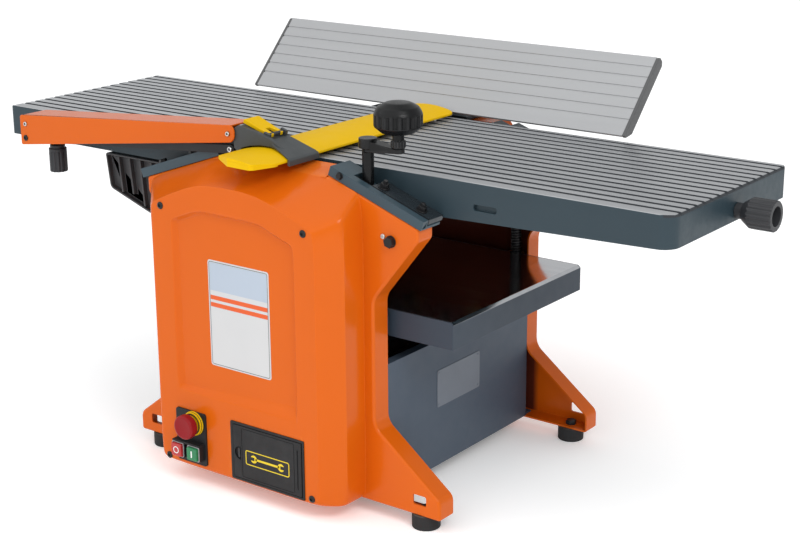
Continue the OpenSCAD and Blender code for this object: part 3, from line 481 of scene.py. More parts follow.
def rounded(pts, step=7.0):
    """An outline whose points carry their own corner radius."""
    out = []
    n = len(pts)
    for i in range(n):
        a, b, c = (Vector(pts[(i + k) % n][:2]) for k in (-1, 0, 1))
        r = pts[i][2] if len(pts[i]) > 2 else 0.0
        u, v = (a - b).normalized(), (c - b).normalized()
        g = u.angle(v)
        if r <= 0 or abs(g - math.pi) < 1e-4:
            out.append(tuple(b))
            continue
        d = r / math.tan(g / 2)
        m = b + (u + v).normalized() * (r / math.sin(g / 2))
        s = math.atan2((b + u * d - m).y, (b + u * d - m).x)
        e = math.atan2((b + v * d - m).y, (b + v * d - m).x)
        w = (e - s + math.pi) % (2 * math.pi) - math.pi
        k = max(3, math.ceil(math.degrees(math.pi - g) / step))
        out += [(m.x + r * math.cos(s + w * t / k), m.y + r * math.sin(s + w * t / k)) for t in range(k + 1)]
    return out


def inset(pts, t):
    """The same outline, drawn anticlockwise, moved in by t."""
    out = []
    n = len(pts)
    for i in range(n):
        a, b, c = (Vector(pts[(i + k) % n][:2]) for k in (-1, 0, 1))
        d0, d1 = (b - a).normalized(), (c - b).normalized()
        n0, n1 = Vector((-d0.y, d0.x)), Vector((-d1.y, d1.x))
        m = (n0 + n1) / (1 + n0.dot(n1))
        r = pts[i][2]
        if r > 0:
            r = max(r - t, 0.15) if d0.x * d1.y - d0.y * d1.x > 0 else r + t
        out.append((b.x + t * m.x, b.y + t * m.y, r))
    return out


def rect(x0, z0, x1, z1, r):
    return [(x0, z0, r), (x1, z0, r), (x1, z1, r), (x0, z1, r)]


# ---------------------------------------------------------------- camera, light and floor
def camera():
    az, el, roll = (math.radians(v) for v in (36.811, 16.896, -0.348))
    back = Vector((math.sin(az) * math.cos(el), -math.cos(az) * math.cos(el), math.sin(el)))
    right = (-back).cross(Vector((0, 0, 1))).normalized()
    up = right.cross(-back)
    c, s = math.cos(roll), math.sin(roll)
    right, down = right * c + up * s, -up * c + right * s
    up = -down
    data = bpy.data.cameras.new("camera")
    data.sensor_fit = "HORIZONTAL"
    data.sensor_width = 36.0
    data.lens = 1643.987 * 36.0 / 800.0
    data.dof.use_dof = False
    data.clip_start, data.clip_end = 0.05, 100.0
    o = bpy.data.objects.new("camera", data)
    bpy.context.scene.collection.objects.link(o)
    m = Matrix.Identity(4)
    for i, v in enumerate((right, up, back, P(1389.568, -1778.536, 953.858))):
        m[0][i], m[1][i], m[2][i] = v
    o.matrix_world = m
    bpy.context.scene.camera = o


def area(name, pos, look, size, power, colour=(1, 1, 1)):
    d = bpy.data.lights.new(name, "AREA")
    d.shape = "RECTANGLE"
    d.size, d.size_y = size
    d.energy = power
    d.color = colour
    o = bpy.data.objects.new(name, d)
    bpy.context.scene.collection.objects.link(o)
    o.location = pos
    o.rotation_mode = "QUATERNION"
    o.rotation_quaternion = (Vector(look) - Vector(pos)).to_track_quat("-Z", "Y")


def studio():
    w = bpy.data.worlds.new("studio")
    bpy.context.scene.world = w
    w.use_nodes = True
    bg = w.node_tree.nodes["Background"]
    bg.inputs[0].default_value = (0.985, 0.993, 1.0, 1.0)
    bg.inputs[1].default_value = 0.65
    d = bpy.data.lights.new("key", "SUN")
    d.energy = 1.46
    d.angle = math.radians(96)
    o = bpy.data.objects.new("key", d)
    bpy.context.scene.collection.objects.link(o)
    o.rotation_mode = "QUATERNION"
    o.rotation_quaternion = Vector((0.28, 0.60, -0.75)).to_track_quat("-Z", "Y")
    area("shoulder_softbox", (1.9, -1.1, 2.0), (0.0, -0.2, 0.35), (1.2, 0.8), 26)
    bm = bmesh.new()
    bmesh.ops.create_grid(bm, x_segments=4, y_segments=4, size=16.0)
    floor = from_bm("floor", bm, normals=False)
    m, nt, b = new_mat("pale_floor")
    c = mix(nt, remap(nt, noise(nt, 1.2, 4, 0.5), 0.3, 0.7, 0, 1), (0.955, 0.955, 0.955), (0.97, 0.97, 0.97))
    nt.links.new(c, b.inputs["Base Color"])
    b.inputs["Roughness"].default_value = 0.75
    b.inputs["Specular IOR Level"].default_value = 0.15
    b.inputs["Emission Color"].default_value = (1.0, 1.0, 1.0, 1.0)
    b.inputs["Emission Strength"].default_value = 0.20
    floor.data.materials.append(m)
    bpy.context.scene.view_settings.view_transform = "Standard"
    bpy.context.scene.view_settings.look = "None"
    bpy.context.scene.view_settings.exposure = 0.0


# ---------------------------------------------------------------- front cover
def ring_points(corner, low, left, right, side_r, top, side_l):
    """One closed control ring of the cover, drawn from its lower left corner."""
    l, r, c = left, right, corner
    zl, zr = low
    k = 0.29 * c
    z = lambda x: zl + (zr - zl) * (x - l) / (r - l)
    x3, x4 = l + c + (r - l - 2 * c) * 0.35, l + c + (r - l - 2 * c) * 0.68
    return ([(l, zl + c), (l + k, zl + k), (l + c, z(l + c)), (x3, z(x3)), (x4, z(x4)), (r - c, z(r - c)),
             (r - k, zr + k), (r, zr + c)] + [(r, q) for q in side_r] + list(top) + list(side_l))


CREST = [(150, 437.5), (136, 442.0), (112, 449.5), (94, 455), (60, 455), (22, 455), (-16, 455), (-48, 455), (-72, 455),
         (-93, 455), (-128, 443.2), (-164, 430.7), (-222, 410.6)]
RIDGE = [(121, 395), (113.5, 401.5), (91, 410), (70, 418.5), (53, 424), (20, 433), (-16, 434.3), (-52, 433.6),
         (-76, 430.6), (-95, 425), (-115, 416.8), (-135, 408), (-162.5, 395.5)]
STEP_OUT = [(87, 371), (83.5, 376.5), (75, 380.4), (56, 385.6), (39, 393), (25, 396.8), (-6, 397.0), (-35, 397.6),
            (-62, 397.8), (-80, 397), (-108, 385.6), (-123, 380), (-127, 374)]
STEP_IN = [(83, 367), (80, 371.6), (72.4, 375.2), (53.6, 380.4), (37, 387.6), (23.4, 391.2), (-6, 391.4), (-35, 392),
           (-61, 392.2), (-78, 391.4), (-105, 380.2), (-116, 376), (-119.5, 371)]
FLOOR = [(60, 350), (57, 355), (50, 359), (38, 364), (26, 370), (14, 373), (-8, 373.5), (-32, 374), (-52, 374),
         (-66, 373), (-84, 366), (-96, 361), (-100, 354)]


def cover_rings():
    rings = []
    for y, xr, xl, low in ((-200, 150, -167, 21), (-220, 150, -167, 21), (-239.5, 150, -167, 21), (-247, 141.2, -167, 21),
                           (-255, 131.8, -166.8, 21.8), (-260.6, 125, -165.6, 23.6)):
        t = (-200 - y) / 64.0
        top = []
        for k, ((x0, z0), (x1, z1)) in enumerate(zip(CREST, RIDGE)):
            x, z = x0 + (x1 - x0) * t, z0 + (z1 - z0) * t
            if k < 2:
                x = xr - (150 - x0) * (1 - t) - (121 - x1) * t
            top.append((x, z))
        lerp = lambda p, q: (p[0] + (q[0] - p[0]) * t, p[1] + (q[1] - p[1]) * t)
        left = [lerp((-225.5, 400), (-163.6, 388)), lerp((-222, 388), (-163.6, 372)), lerp((xl, 318), (xl, 330)),
                (xl, 220), (xl, 110)]
        rings.append((y, ring_points(11, (low, low), xl, xr, (110, 220, 330), top, left), 0.55 if y == -239.5 else 0.0))
    side = lambda x, *z: [(x, q) for q in z]
    rings.append((-264, ring_points(10, (27, 27), -163, 121, (112, 222, 328), RIDGE, side(-163, 387, 372, 330, 222, 112)), 0.8))
    rings.append((-264, ring_points(9, (36, 36), -154, 112, (116, 224, 326),
                                    [(x * 0.93 - 1.5, 200 + (z - 200) * 0.955) for x, z in RIDGE],
                                    side(-154, 378, 364, 326, 224, 116)), 0.0))
    rings.append((-264, ring_points(7, (135.5, 135.5), -127, 87, (200, 268, 326), STEP_OUT, side(-127, 366, 352, 320, 262, 196)), 0.92))
    rings.append((-257.4, ring_points(6, (141, 154), -119.5, 83, (206, 268, 324), STEP_IN, side(-119.5, 364, 350, 318, 262, 200)), 0.92))
    rings.append((-257.4, ring_points(5, (160, 168), -100, 60, (216, 268, 310), FLOOR, side(-100, 348, 340, 312, 264, 214)), 0.0))
    return rings


def front_cover():
    bm = bmesh.new()
    rings = cover_rings()
    loops = [[bm.verts.new(P(x, y, z)) for x, z in pts] for y, pts, _ in rings]
    n = len(loops[0])
    sharp = bm.edges.layers.float.new("crease_edge")
    for a, c in zip(loops, loops[1:]):
        for i in range(n):
            j = (i + 1) % n
            bm.faces.new((a[i], a[j], c[j], c[i]))
    bm.faces.new(loops[-1])
    for loop, (y, pts, crease) in zip(loops, rings):
        for i in range(n):
            # the ridge folds sharply over the top and softly round the sides
            k = crease if crease > 0.9 or 7 <= i < (11 if crease < 0.6 else 23) else 0.3 * crease
            bm.edges.get((loop[i], loop[(i + 1) % n]))[sharp] = k
    o = from_bm("front_cover_shell", bm, normals=False)
    s = o.modifiers.new("soft", "SUBSURF")
    s.levels = s.render_levels = 3
    s.boundary_smooth = "ALL"
    bake(o)
    # openings for the tool box and the switch
    bm = bmesh.new()
    bm.from_mesh(o.data)
    for x0, x1, z0, z1 in ((-28.8, 96.2, 29.8, 110.7), (-126.5, -80.5, 35.5, 102.5)):
        lo, hi = P(x0, 0, z0), P(x1, 0, z1)
        front = [f for f in bm.faces if f.calc_center_median().y < P(0, -255, 0).y
                 and lo.x - 0.03 < f.calc_center_median().x < hi.x + 0.03
                 and lo.z - 0.03 < f.calc_center_median().z < hi.z + 0.03]
        for co, no in ((lo, (1, 0, 0)), (hi, (1, 0, 0)), (lo, (0, 0, 1)), (hi, (0, 0, 1))):
            front = [f for f in bm.faces if f.calc_center_median().y < P(0, -255, 0).y
                     and lo.x - 0.03 < f.calc_center_median().x < hi.x + 0.03
                     and lo.z - 0.03 < f.calc_center_median().z < hi.z + 0.03]
            geom = set(front)
            for f in front:
                geom.update(f.edges)
                geom.update(f.verts)
            bmesh.ops.bisect_plane(bm, geom=list(geom), plane_co=co, plane_no=no, dist=1e-6)
        kill = []
        for f in bm.faces:
            c = f.calc_center_median()
            if c.y < P(0, -255, 0).y and lo.x < c.x < hi.x and lo.z < c.z < hi.z:
                kill.append(f)
        bmesh.ops.delete(bm, geom=kill, context="FACES")
    bmesh.ops.recalc_face_normals(bm, faces=bm.faces)
    # outward normals face the operator
    if sum(f.normal.y for f in bm.faces) > 0:
        bmesh.ops.reverse_faces(bm, faces=bm.faces)
    me = o.data
    bm.to_mesh(me)
    bm.free()
    s = o.modifiers.new("wall", "SOLIDIFY")
    s.thickness = 0.0025
    s.offset = -1.0
    bake(o)
    # the strip that carries the roof up to the tables
    bm = bmesh.new()
    bm.from_mesh(o.data)
    strip = bmesh.new()
    yz = [(-203, 453.4), (-200, 455.2), (-182, 459.0), (-164.6, 462.5), (-164.2, 460.1), (-182, 456.4), (-200, 452.4)]
    lo = [strip.verts.new(P(-88, y, z)) for y, z in yz]
    hi = [strip.verts.new(P(92, y, z)) for y, z in yz]
    strip.faces.new(lo)
    strip.faces.new(hi[::-1])
    for i in range(len(yz)):
        strip.faces.new((lo[i], lo[(i + 1) % len(yz)], hi[(i + 1) % len(yz)], hi[i]))
    bmesh.ops.recalc_face_normals(strip, faces=strip.faces)
    tmp = bpy.data.meshes.new("strip")
    strip.to_mesh(tmp)
    strip.free()
    bm.from_mesh(tmp)
    bpy.data.meshes.remove(tmp)
    bm.to_mesh(o.data)
    bm.free()
    smooth(o, 24)
    dress(o, "orange", "frame", nodes=("front_cover",))
    # a blank plate in the recess
    bm = bmesh.new()
    add_prism(bm, rounded(rect(-68, 182, 39, 331, 4)), lambda u, v, h: (u, h, v), -257.8, -256.8)
    pl = from_bm("cover_plate", bm)
    round_edges(pl, 0.35, 2)
    smooth(pl)
    dress(pl, "plate", "frame", slot="bright_steel")
    bm = bmesh.new()
    add_prism(bm, [(-64.6, 289), (35.8, 289), (35.8, 327.6), (-64.6, 327.6)], lambda u, v, h: (u, h, v), -257.96, -257.6)
    top = from_bm("cover_plate_head", bm)
    smooth(top)
    dress(top, "plate_blue", "frame", slot="bright_steel")
    bm = bmesh.new()
    for z0, z1 in ((276, 282), (266, 272)):
        add_prism(bm, [(-64.6, z0), (35.8, z0), (35.8, z1), (-64.6, z1)], lambda u, v, h: (u, h, v), -257.96, -257.6)
    bands = from_bm("cover_plate_bands", bm)
    smooth(bands)
    dress(bands, "orange_print", "frame", slot="orange_paint")
    bm = bmesh.new()
    add_ring(bm, rounded(rect(-66, 184, 37, 329, 3)), rounded(rect(-65.2, 184.8, 36.2, 328.2, 2.4)),
             lambda u, v, h: (u, h, v), -257.9, -257.5)
    rim = from_bm("cover_plate_border", bm)
    smooth(rim)
    dress(rim, "plate_rim", "frame", slot="black_steel")


# ---------------------------------------------------------------- stand
PANEL = [(-270, 20, 4), (270, 20, 4), (270, 47, 14), (165, 128, 24), (165, 302, 26), (236, 391, 13),
         (236, 407.27, 4), (94, 457, 1.2), (89, 449, 2), (-89, 449, 2), (-94, 457, 1.2), (-232, 408.67, 5),
         (-232, 388, 13), (-165, 302, 26), (-165, 128, 24), (-270, 47, 14)]


def side_panel(node, sgn, motor_hole):
    """A pressed sheet tray: flat web, rolled bend and turned-in flange."""
    bend, t, depth = 4.0, 2.5, 30.0
    prof = [(0.0, depth), (0.0, bend)]
    prof += [(bend - bend * math.cos(math.radians(a)), bend - bend * math.sin(math.radians(a))) for a in (15, 30, 45, 60, 75, 90)]
    inner = [(bend, t)]
    inner += [(bend - (bend - t) * math.cos(math.radians(a)), bend - (bend - t) * math.sin(math.radians(a))) for a in (70, 45, 20, 0)]
    inner += [(t, depth)]
    bm = bmesh.new()
    loops = []
    for d, y in prof + inner:
        loops.append([bm.verts.new(P(x, sgn * (200.0 - y), z)) for x, z in rounded(inset(PANEL, d), 6.0)])
    n = len(loops[0])
    for k in range(len(loops)):
        if k == len(prof) - 1:
            continue
        a, c = loops[k], loops[(k + 1) % len(loops)]
        for i in range(n):
            j = (i + 1) % n
            bm.faces.new((a[i], a[j], c[j], c[i]))
    bm.faces.new(loops[len(prof) - 1])
    bm.faces.new(loops[len(prof)])
    o = from_bm(node + "_pressing", bm)
    cut = bmesh.new()
    place = lambda u, v, h: (u, h, v)
    y0, y1 = sorted((sgn * 206.0, sgn * 190.0))
    for s in (-1, 1):
        add_prism(cut, rounded(rect(s * 237.5 - 10.5, 35.5, s * 237.5 + 10.5, 49.5, 2.5), 15), place, y0, y1)
        add_lathe(cut, [(0, 0), (10, 0), (10, 16), (0, 16)], (s * 58, y0, 405), (0, 1, 0), 28)
    add_lathe(cut, [(0, 0), (15, 0), (15, 16), (0, 16)], (0, y0, 428), (0, 1, 0), 36)
    add_lathe(cut, [(0, 0), (6.2, 0), (6.2, 16), (0, 16)], (98, y0, 412), (0, 1, 0), 24)
    if motor_hole:
        add_lathe(cut, [(0, 0), (22, 0), (22, 16), (0, 16)], (-20, y0, 148), (0, 1, 0), 40)
    add_lathe(cut, [(0, 0), (10, 0), (10, 40), (0, 40)], (140, sgn * 175, 428), (0, 0, 1), 28)
    boolean(o, from_bm("cut", cut))
    smooth(o, 38)
    dress(o, "orange_panel", "frame", nodes=(node,))


# ---------------------------------------------------------------- fasteners
def hex_bolt(bm, origin, axis, af, h, washer=None, stud=None):
    """A hexagon head with a chamfered crown, its washer and a stud end."""
    origin, axis = Vector(origin), Vector(axis).normalized()
    base = 0.0
    if washer:
        d, t = washer
        add_lathe(bm, [(0, 0), (d / 2, 0), (d / 2, t - 0.25), (d / 2 - 0.25, t), (0, t)], origin, axis, 28)
        base = t
    r = af / 2 / math.cos(math.pi / 6)
    add_lathe(bm, [(0, base), (r, base), (r, base + h - 0.09 * af), (r * 0.9, base + h), (0, base + h)], origin, axis, 6)
    if stud:
        d, t = stud
        add_lathe(bm, [(0, base + h), (d / 2, base + h), (d / 2, base + h + t - 0.6), (d / 2 - 0.6, base + h + t), (0, base + h + t)],
                  origin, axis, 20)


def socket_screw(bm, origin, axis, d, h, dome=0.8, key=0.5):
    """A low round head with a hexagon socket."""
    r = d / 2
    k = r * key
    prof = [(0, 0), (r, 0), (r, h - dome)]
    prof += [(r - dome * (1 - math.cos(math.radians(a))), h - dome + dome * math.sin(math.radians(a))) for a in (30, 60, 90)]
    prof += [(k * 1.12, h), (k, h - 0.2), (k, h - min(1.6, 0.7 * h)), (0, h - min(1.6, 0.7 * h))]
    add_lathe(bm, prof, origin, axis, 24)


def fastener(name, bm, mat, body, nodes=(), slot=None, sharp=30):
    o = from_bm(name, bm)
    smooth(o, sharp)
    return dress(o, mat, body, slot=slot, nodes=nodes)


SLOPE = math.radians(19.3)


def on_slope(u, w, sx=1):
    """A point u down the incline and w off it, as x and z."""
    x = 94 + u * math.cos(SLOPE) + w * math.sin(SLOPE)
    z = 457 - u * math.sin(SLOPE) + w * math.cos(SLOPE)
    return sx * x, z


def fasteners():
    bm = bmesh.new()
    for x in (-236, 236):
        for y in (-183, 183):
            hex_bolt(bm, (x, y, 22.5), (0, 0, 1), 14, 6)
    for sy in (-1, 1):
        for sx in (-1, 1):
            hex_bolt(bm, (sx * 194, sy * 200, 385), (0, sy, 0), 13.4, 5.6, washer=(16, 1.4))
        for u in (71, 133):
            x, z = on_slope(u, 12, -1)
            hex_bolt(bm, (x, sy * 175, z), (-math.sin(SLOPE), 0, math.cos(SLOPE)), 10, 4.6, washer=(14.6, 1.4))
    fastener("frame_bolts_finished", bm, "bolt", "frame", nodes=("frame_bolts",))
    bm = bmesh.new()
    for sy in (-1, 1):
        for sx in (-1, 1):
            socket_screw(bm, (sx * 182, sy * 199.6, 390), (0, sy, 0), 7, 2.5)
    fastener("panel_screws", bm, "zinc", "frame", slot="bright_steel")
    bm = bmesh.new()
    x, z = on_slope(18, 7.6)
    hex_bolt(bm, (x, -199.8, z), (0, -1, 0), 7.6, 3.0, washer=(10.4, 0.8))
    fastener("bracket_bolt", bm, "bolt", "frame", slot="black_steel")
    # painted shade: near-black strips fill the gaps beside the runners, standing in for the shade in them
    bm = bmesh.new()
    for sx in (-1, 1):
        for sy in (-1, 1):
            u0 = 32 if sy < 0 else 60
            add_prism(bm, [(u0, 3.3), (153, 3.3), (153, 12.6), (u0, 12.6)],
                      lambda u, w, h: (on_slope(u, w, sx)[0], sy * h, on_slope(u, w, sx)[1]), 185.9, 188.6)
    o = from_bm("runner_gap_shade_strips", bm)
    round_edges(o, 0.3, 2)
    smooth(o)
    dress(o, "strip", "frame", slot="black_rubber")
    bm = bmesh.new()
    for sy in (-1, 1):
        for u in (71, 133):
            x, z = on_slope(u, 12)
            hex_bolt(bm, (x, sy * 175, z), (math.sin(SLOPE), 0, math.cos(SLOPE)), 10, 5.5, washer=(15, 1.5), stud=(6, 4))
    fastener("infeed_runner_bolts_finished", bm, "bolt", "infeed_table", nodes=("infeed_runner_bolts",))
    bm = bmesh.new()
    for x, z in ((-144.5, 394), (104, 395), (109.5, 33.5), (-149.5, 31.5)):
        add_lathe(bm, [(0, 0), (4.9, 0), (5.1, 1.2)] + [(5.1 * math.cos(math.radians(a)), 1.2 + 1.7 * math.sin(math.radians(a)))
                                                      for a in (25, 50)] + [(2.2, 2.75), (1.9, 1.2), (0, 1.0)],
                  (x, -263.4, z), (0, -1, 0), 24)
        add_lathe(bm, [(0, 0), (3, 0), (3, 7), (0, 7)], (x, -256.5, z), (0, -1, 0), 16)
    fastener("cover_screws_finished", bm, "bolt", "frame", nodes=("cover_screws",))


# ---------------------------------------------------------------- switch and tool box
def switch_and_box():
    place = lambda u, v, h: (u, h, v)
    bm = bmesh.new()
    add_prism(bm, rounded(rect(-131, 32, -76, 109, 4)), place, -262.5, -267)
    o = from_bm("switch_plate", bm)
    cut = bmesh.new()
    for x in (-120, -91):
        add_box(cut, (x - 4.9, -290, 47.1), (x + 4.9, -250, 56.9))
    boolean(o, from_bm("cut", cut))
    round_edges(o, 0.7, 3)
    bm = bmesh.new()
    bm.from_mesh(o.data)
    # the two button frames, with a brow over them
    ring = bmesh.new()
    for x in (-120, -91):
        add_ring(ring, rounded(rect(x - 11, 40.2, x + 11.2, 63.6, 2.2)), rounded(rect(x - 9.7, 42.3, x + 9.7, 61.7, 1.2)),
                 place, -266.6, -276.4)
    add_prism(ring, rounded(rect(-130.8, 62.4, -79.7, 65.4, 1.2)), place, -266.6, -277)
    add_box(ring, (-126, -264, 36), (-81, -228, 102))
    t = from_bm("ring", ring)
    round_edges(t, 0.5, 2)
    bm.from_mesh(t.data)
    bpy.data.objects.remove(t)
    bm.to_mesh(o.data)
    bm.free()
    smooth(o, 40)
    dress(o, "black", "frame", nodes=("switch_box",))
    bm = bmesh.new()
    add_lathe(bm, [(6.4, 0), (17.4, 0), (17.4, 1.4), (16.9, 2.0), (16.2, 2.1), (16.0, 2.5), (16.6, 2.9), (16.9, 3.4), (16.7, 4.2),
                   (15.6, 4.9), (6.4, 4.9), (6.4, 0)], (-97, -267, 92.5), (0, -1, 0), 64)
    fastener("estop_collar", bm, "yellow", "frame", slot="yellow_plastic", sharp=35)
    # painted shade: two black rings, one on the collar's face and one in its groove, stand in for the dark gap between
    # the collar's rims
    bm = bmesh.new()
    add_lathe(bm, [(13.0, 4.5), (15.2, 4.5), (15.2, 5.0), (15.0, 5.05), (13.2, 5.05), (13.0, 5.0), (13.0, 4.5)], (-97, -267, 92.5), (0, -1, 0), 64)
    add_lathe(bm, [(15.6, 2.0), (16.95, 2.0), (17.0, 2.15), (17.0, 2.65), (16.95, 2.8), (15.6, 2.8), (15.6, 2.0)], (-97, -267, 92.5), (0, -1, 0), 64)
    fastener("estop_collar_gap_shade", bm, "black", "frame", slot="black_rubber", sharp=35)
    # pale rims round the two buttons
    bm = bmesh.new()
    for x in (-120, -91):
        add_ring(bm, rounded(rect(x - 10.7, 41.3, x + 10.7, 62.7, 2.0), 20), rounded(rect(x - 9.8, 42.2, x + 9.8, 61.8, 1.3), 20),
                 place, -276.0, -277.6)
    fastener("button_rims", bm, "hood_clear", "frame", slot="black_plastic", sharp=35)
    bm = bmesh.new()
    add_lathe(bm, [(0, -35.4), (6, -35.4), (6, 0.1), (15.4, 0.1), (16.4, 0.5), (16.9, 1.4), (17.2, 5.0), (17.2, 9.2), (16.9, 10.6),
                   (16.0, 11.8), (14.6, 12.3), (12.6, 12.3), (11.6, 11.9), (0, 11.5)], (-97, -277.5, 92.5), (0, -1, 0), 64)
    o = from_bm("estop_mushroom", bm)
    smooth(o, 40)
    dress(o, "red", "estop", nodes=("estop_button",))
    for node, x, mat in (("start_button", -91, "button_green"), ("stop_button", -120, "button_red")):
        bm = bmesh.new()
        pts = rounded(rect(x - 9.3, 42.7, x + 9.3, 61.3, 1.8), 18)
        cx, cz = x, 52.0
        loops = []
        for k, y in ((0.96, -271.5), (1.0, -272.0), (1.0, -279.8), (0.97, -280.9), (0.91, -281.35), (0.5, -281.1)):
            loops.append([bm.verts.new(P(cx + (u - cx) * k, y, cz + (v - cz) * k)) for u, v in pts])
        n = len(pts)
        bm.faces.new(loops[0])
        for a, c in zip(loops, loops[1:]):
            for i in range(n):
                bm.faces.new((a[i], a[(i + 1) % n], c[(i + 1) % n], c[i]))
        bm.faces.new(loops[-1][::-1])
        add_prism(bm, rounded(rect(x - 4.5, 47.5, x + 4.5, 56.5, 0.6), 30), place, -258, -271.8)
        o = from_bm(node + "_cap", bm)
        smooth(o, 40)
        dress(o, mat, BODY[node], nodes=(node,))
        bm = bmesh.new()
        if node == "stop_button":
            add_ring(bm, arc(cx, cz, 5.0, 0, 360 - 360 / 40, 39), arc(cx, cz, 3.9, 0, 360 - 360 / 40, 39), place, -280.9, -281.45)
        else:
            add_prism(bm, rounded(rect(cx - 1.0, cz - 4.8, cx + 1.0, cz + 4.8, 0.5), 20), place, -280.9, -281.45)
        m = from_bm(node + "_mark", bm)
        smooth(m)
        dress(m, "white", BODY[node], slot=SLOT[node])
    # tool box: door with its latch pocket, and the frame of the bin
    bm = bmesh.new()
    add_prism(bm, rounded([(-25.8, 32.3, 3), (93.7, 32.3, 0.6), (93.7, 108.4, 0.6), (-25.8, 108.4, 3)]), place, -263, -266)
    o = from_bm("toolbox_door_panel", bm)
    cut = bmesh.new()
    d = [(-13, 78.4), (-13, 59)] + [(-13 - 10.6 * math.cos(math.radians(a)), 68.7 + 9.7 * math.sin(math.radians(a)))
                                    for a in range(-80, 81, 10)]
    add_prism(cut, d, place, -270, -263.5)
    add_prism(cut, rounded(rect(86.6, 42, 88.8, 98, 1.0), 20), place, -270, -264.9)
    add_ring(cut, rounded(rect(-10.6, 35.0, 81.8, 105.6, 2)), rounded(rect(-9.8, 35.8, 81.0, 104.8, 1.4)), place, -270, -265.5)
    boolean(o, from_bm("cut", cut))
    round_edges(o, 0.35, 2, 40)
    smooth(o, 40)
    dress(o, "black", "tool_door", nodes=("toolbox_door",))
    bm = bmesh.new()
    add_prism(bm, rounded(rect(-17.4, 62, -14.6, 75.4, 1.2)), place, -264.4, -266.0)
    o = from_bm("toolbox_latch", bm)
    round_edges(o, 0.4, 2)
    smooth(o)
    dress(o, "charcoal", "tool_door", slot="black_plastic")
    bm = bmesh.new()
    add_ring(bm, rounded(rect(-4, 55, 73, 76, 3.2)), rounded(rect(-2.7, 56.3, 71.7, 74.7, 1.9)), place, -265.8, -266.22)
    # a plain spanner as the sign for tools
    cx, cz = 34.5, 65.5
    add_prism(bm, rounded(rect(cx - 21, cz - 1.5, cx + 21, cz + 1.5, 0.4), 30), place, -265.8, -266.2)
    for s in (-1, 1):
        outer = arc(0, 0, 5.6, 42, 318, 24)
        jaw = [(5.0, -2.5), (-1.2, -2.5), (-1.2, 2.5), (5.0, 2.5)]
        pts = [(cx + s * (24 + u), cz + (v if s > 0 else -v)) for u, v in outer + jaw]
        add_prism(bm, pts, place, -265.8, -266.2)
    o = from_bm("toolbox_sign", bm)
    smooth(o)
    dress(o, "yellow_print", "tool_door", slot="yellow_plastic")
    bm = bmesh.new()
    hole = rounded([(-26.4, 31.6, 3), (94.9, 31.6, 0.6), (94.9, 109.1, 0.6), (-26.4, 109.1, 3)])
    add_ring(bm, rounded([(-31, 28, 2.4), (98, 28, 1.2), (98, 112.5, 1.2), (-31, 112.5, 2.4)], 30), rounded([(-26.4, 31.6, 3), (94.9, 31.6, 0.6), (94.9, 109.1, 0.6), (-26.4, 109.1, 3)], 30), place, -263.9, -265.5)
    add_ring(bm, rounded([(-28.7, 29.9, 3), (96.1, 29.9, 0.6), (96.1, 110.6, 0.6), (-28.7, 110.6, 3)]), hole, place, -260.4, -264.2)
    t = from_bm("rim", bm)
    round_edges(t, 0.5, 2)
    bm = bmesh.new()
    bm.from_mesh(t.data)
    bpy.data.objects.remove(t)
    inner = bmesh.new()
    add_ring(inner, rounded(rect(-25.5, 33.5, 91, 104.5, 4)), rounded(rect(-23.5, 35.5, 89, 102.5, 3)), place, -262.3, -216)
    add_prism(inner, rounded(rect(-24, 35, 89.5, 103, 3)), place, -218, -216)
    add_ring(inner, rounded(rect(-28, 30.6, 95.6, 110, 4)), rounded(rect(-23.5, 35.5, 89, 102.5, 3)), place, -261.8, -260.6)
    tmp = bpy.data.meshes.new("inner")
    bmesh.ops.recalc_face_normals(inner, faces=inner.faces)
    inner.to_mesh(tmp)
    inner.free()
    bm.from_mesh(tmp)
    bpy.data.meshes.remove(tmp)
    o = from_bm("toolbox_bin_tray", bm)
    smooth(o, 40)
    dress(o, "black", "frame", nodes=("toolbox_bin",))


# ---------------------------------------------------------------- lift screws
def lead_screw(node, x, y, top, shaft=None):
    """A rolled trapezoidal thread with its chain wheel."""
    pitch, seg, per = 4.0, 20, 8
    z0, z1 = 46.0, top - 2.0
    bm = bmesh.new()
    rows = int((z1 - z0) / pitch * per) + 1
    prof = lambda f: 6.75 + 1.2 * min(1.0, max(0.0, (0.5 - abs(f - 0.5)) * 6.0 - 0.9))
    rings = []
    for k in range(rows):
        z = z0 + pitch * k / per
        ring = []
        for i in range(seg):
            a = 2 * math.pi * i / seg
            r = prof(((z / pitch) - i / seg) % 1.0)
            ring.append(bm.verts.new(P(x + r * math.cos(a), y + r * math.sin(a), z)))
        rings.append(ring)
    end_lo = [(0, 23.0), (7.4, 23.0), (7.9, 23.6), (7.9, 45.5)]
    for a, c in zip(rings, rings[1:]):
        for i in range(seg):
            bm.faces.new((a[i], a[(i + 1) % seg], c[(i + 1) % seg], c[i]))
    bm.faces.new(rings[0][::-1])
    bm.faces.new(rings[-1])
    add_lathe(bm, end_lo + [(0, 46.5)], (x, y, 0), (0, 0, 1), 24)
    cap = [(0, z1 - 1.5), (6.9, z1 - 1.5), (6.9, top - 0.8), (6.1, top), (0, top)]
    if shaft:
        cap = [(0, z1 - 1.5), (6.9, z1 - 1.5), (6.9, top), (5, top + 0.4), (5, shaft), (0, shaft)]
    add_lathe(bm, cap, (x, y, 0), (0, 0, 1), 24)
    teeth = lambda k, a: -1.9 * max(0.0, math.cos(12 * a)) ** 1.5 if k in (1, 2) else 0.0
    add_lathe(bm, [(0, 35), (13.9, 35), (13.9, 40), (0, 40)], (x, y, 0), (0, 0, 1), 96, wave=teeth)
    o = from_bm(node + "_threaded", bm)
    smooth(o, 34, weighted=False)
    dress(o, "black_steel", BODY[node], nodes=(node,))


# ---------------------------------------------------------------- guard
TILT = math.radians(17)


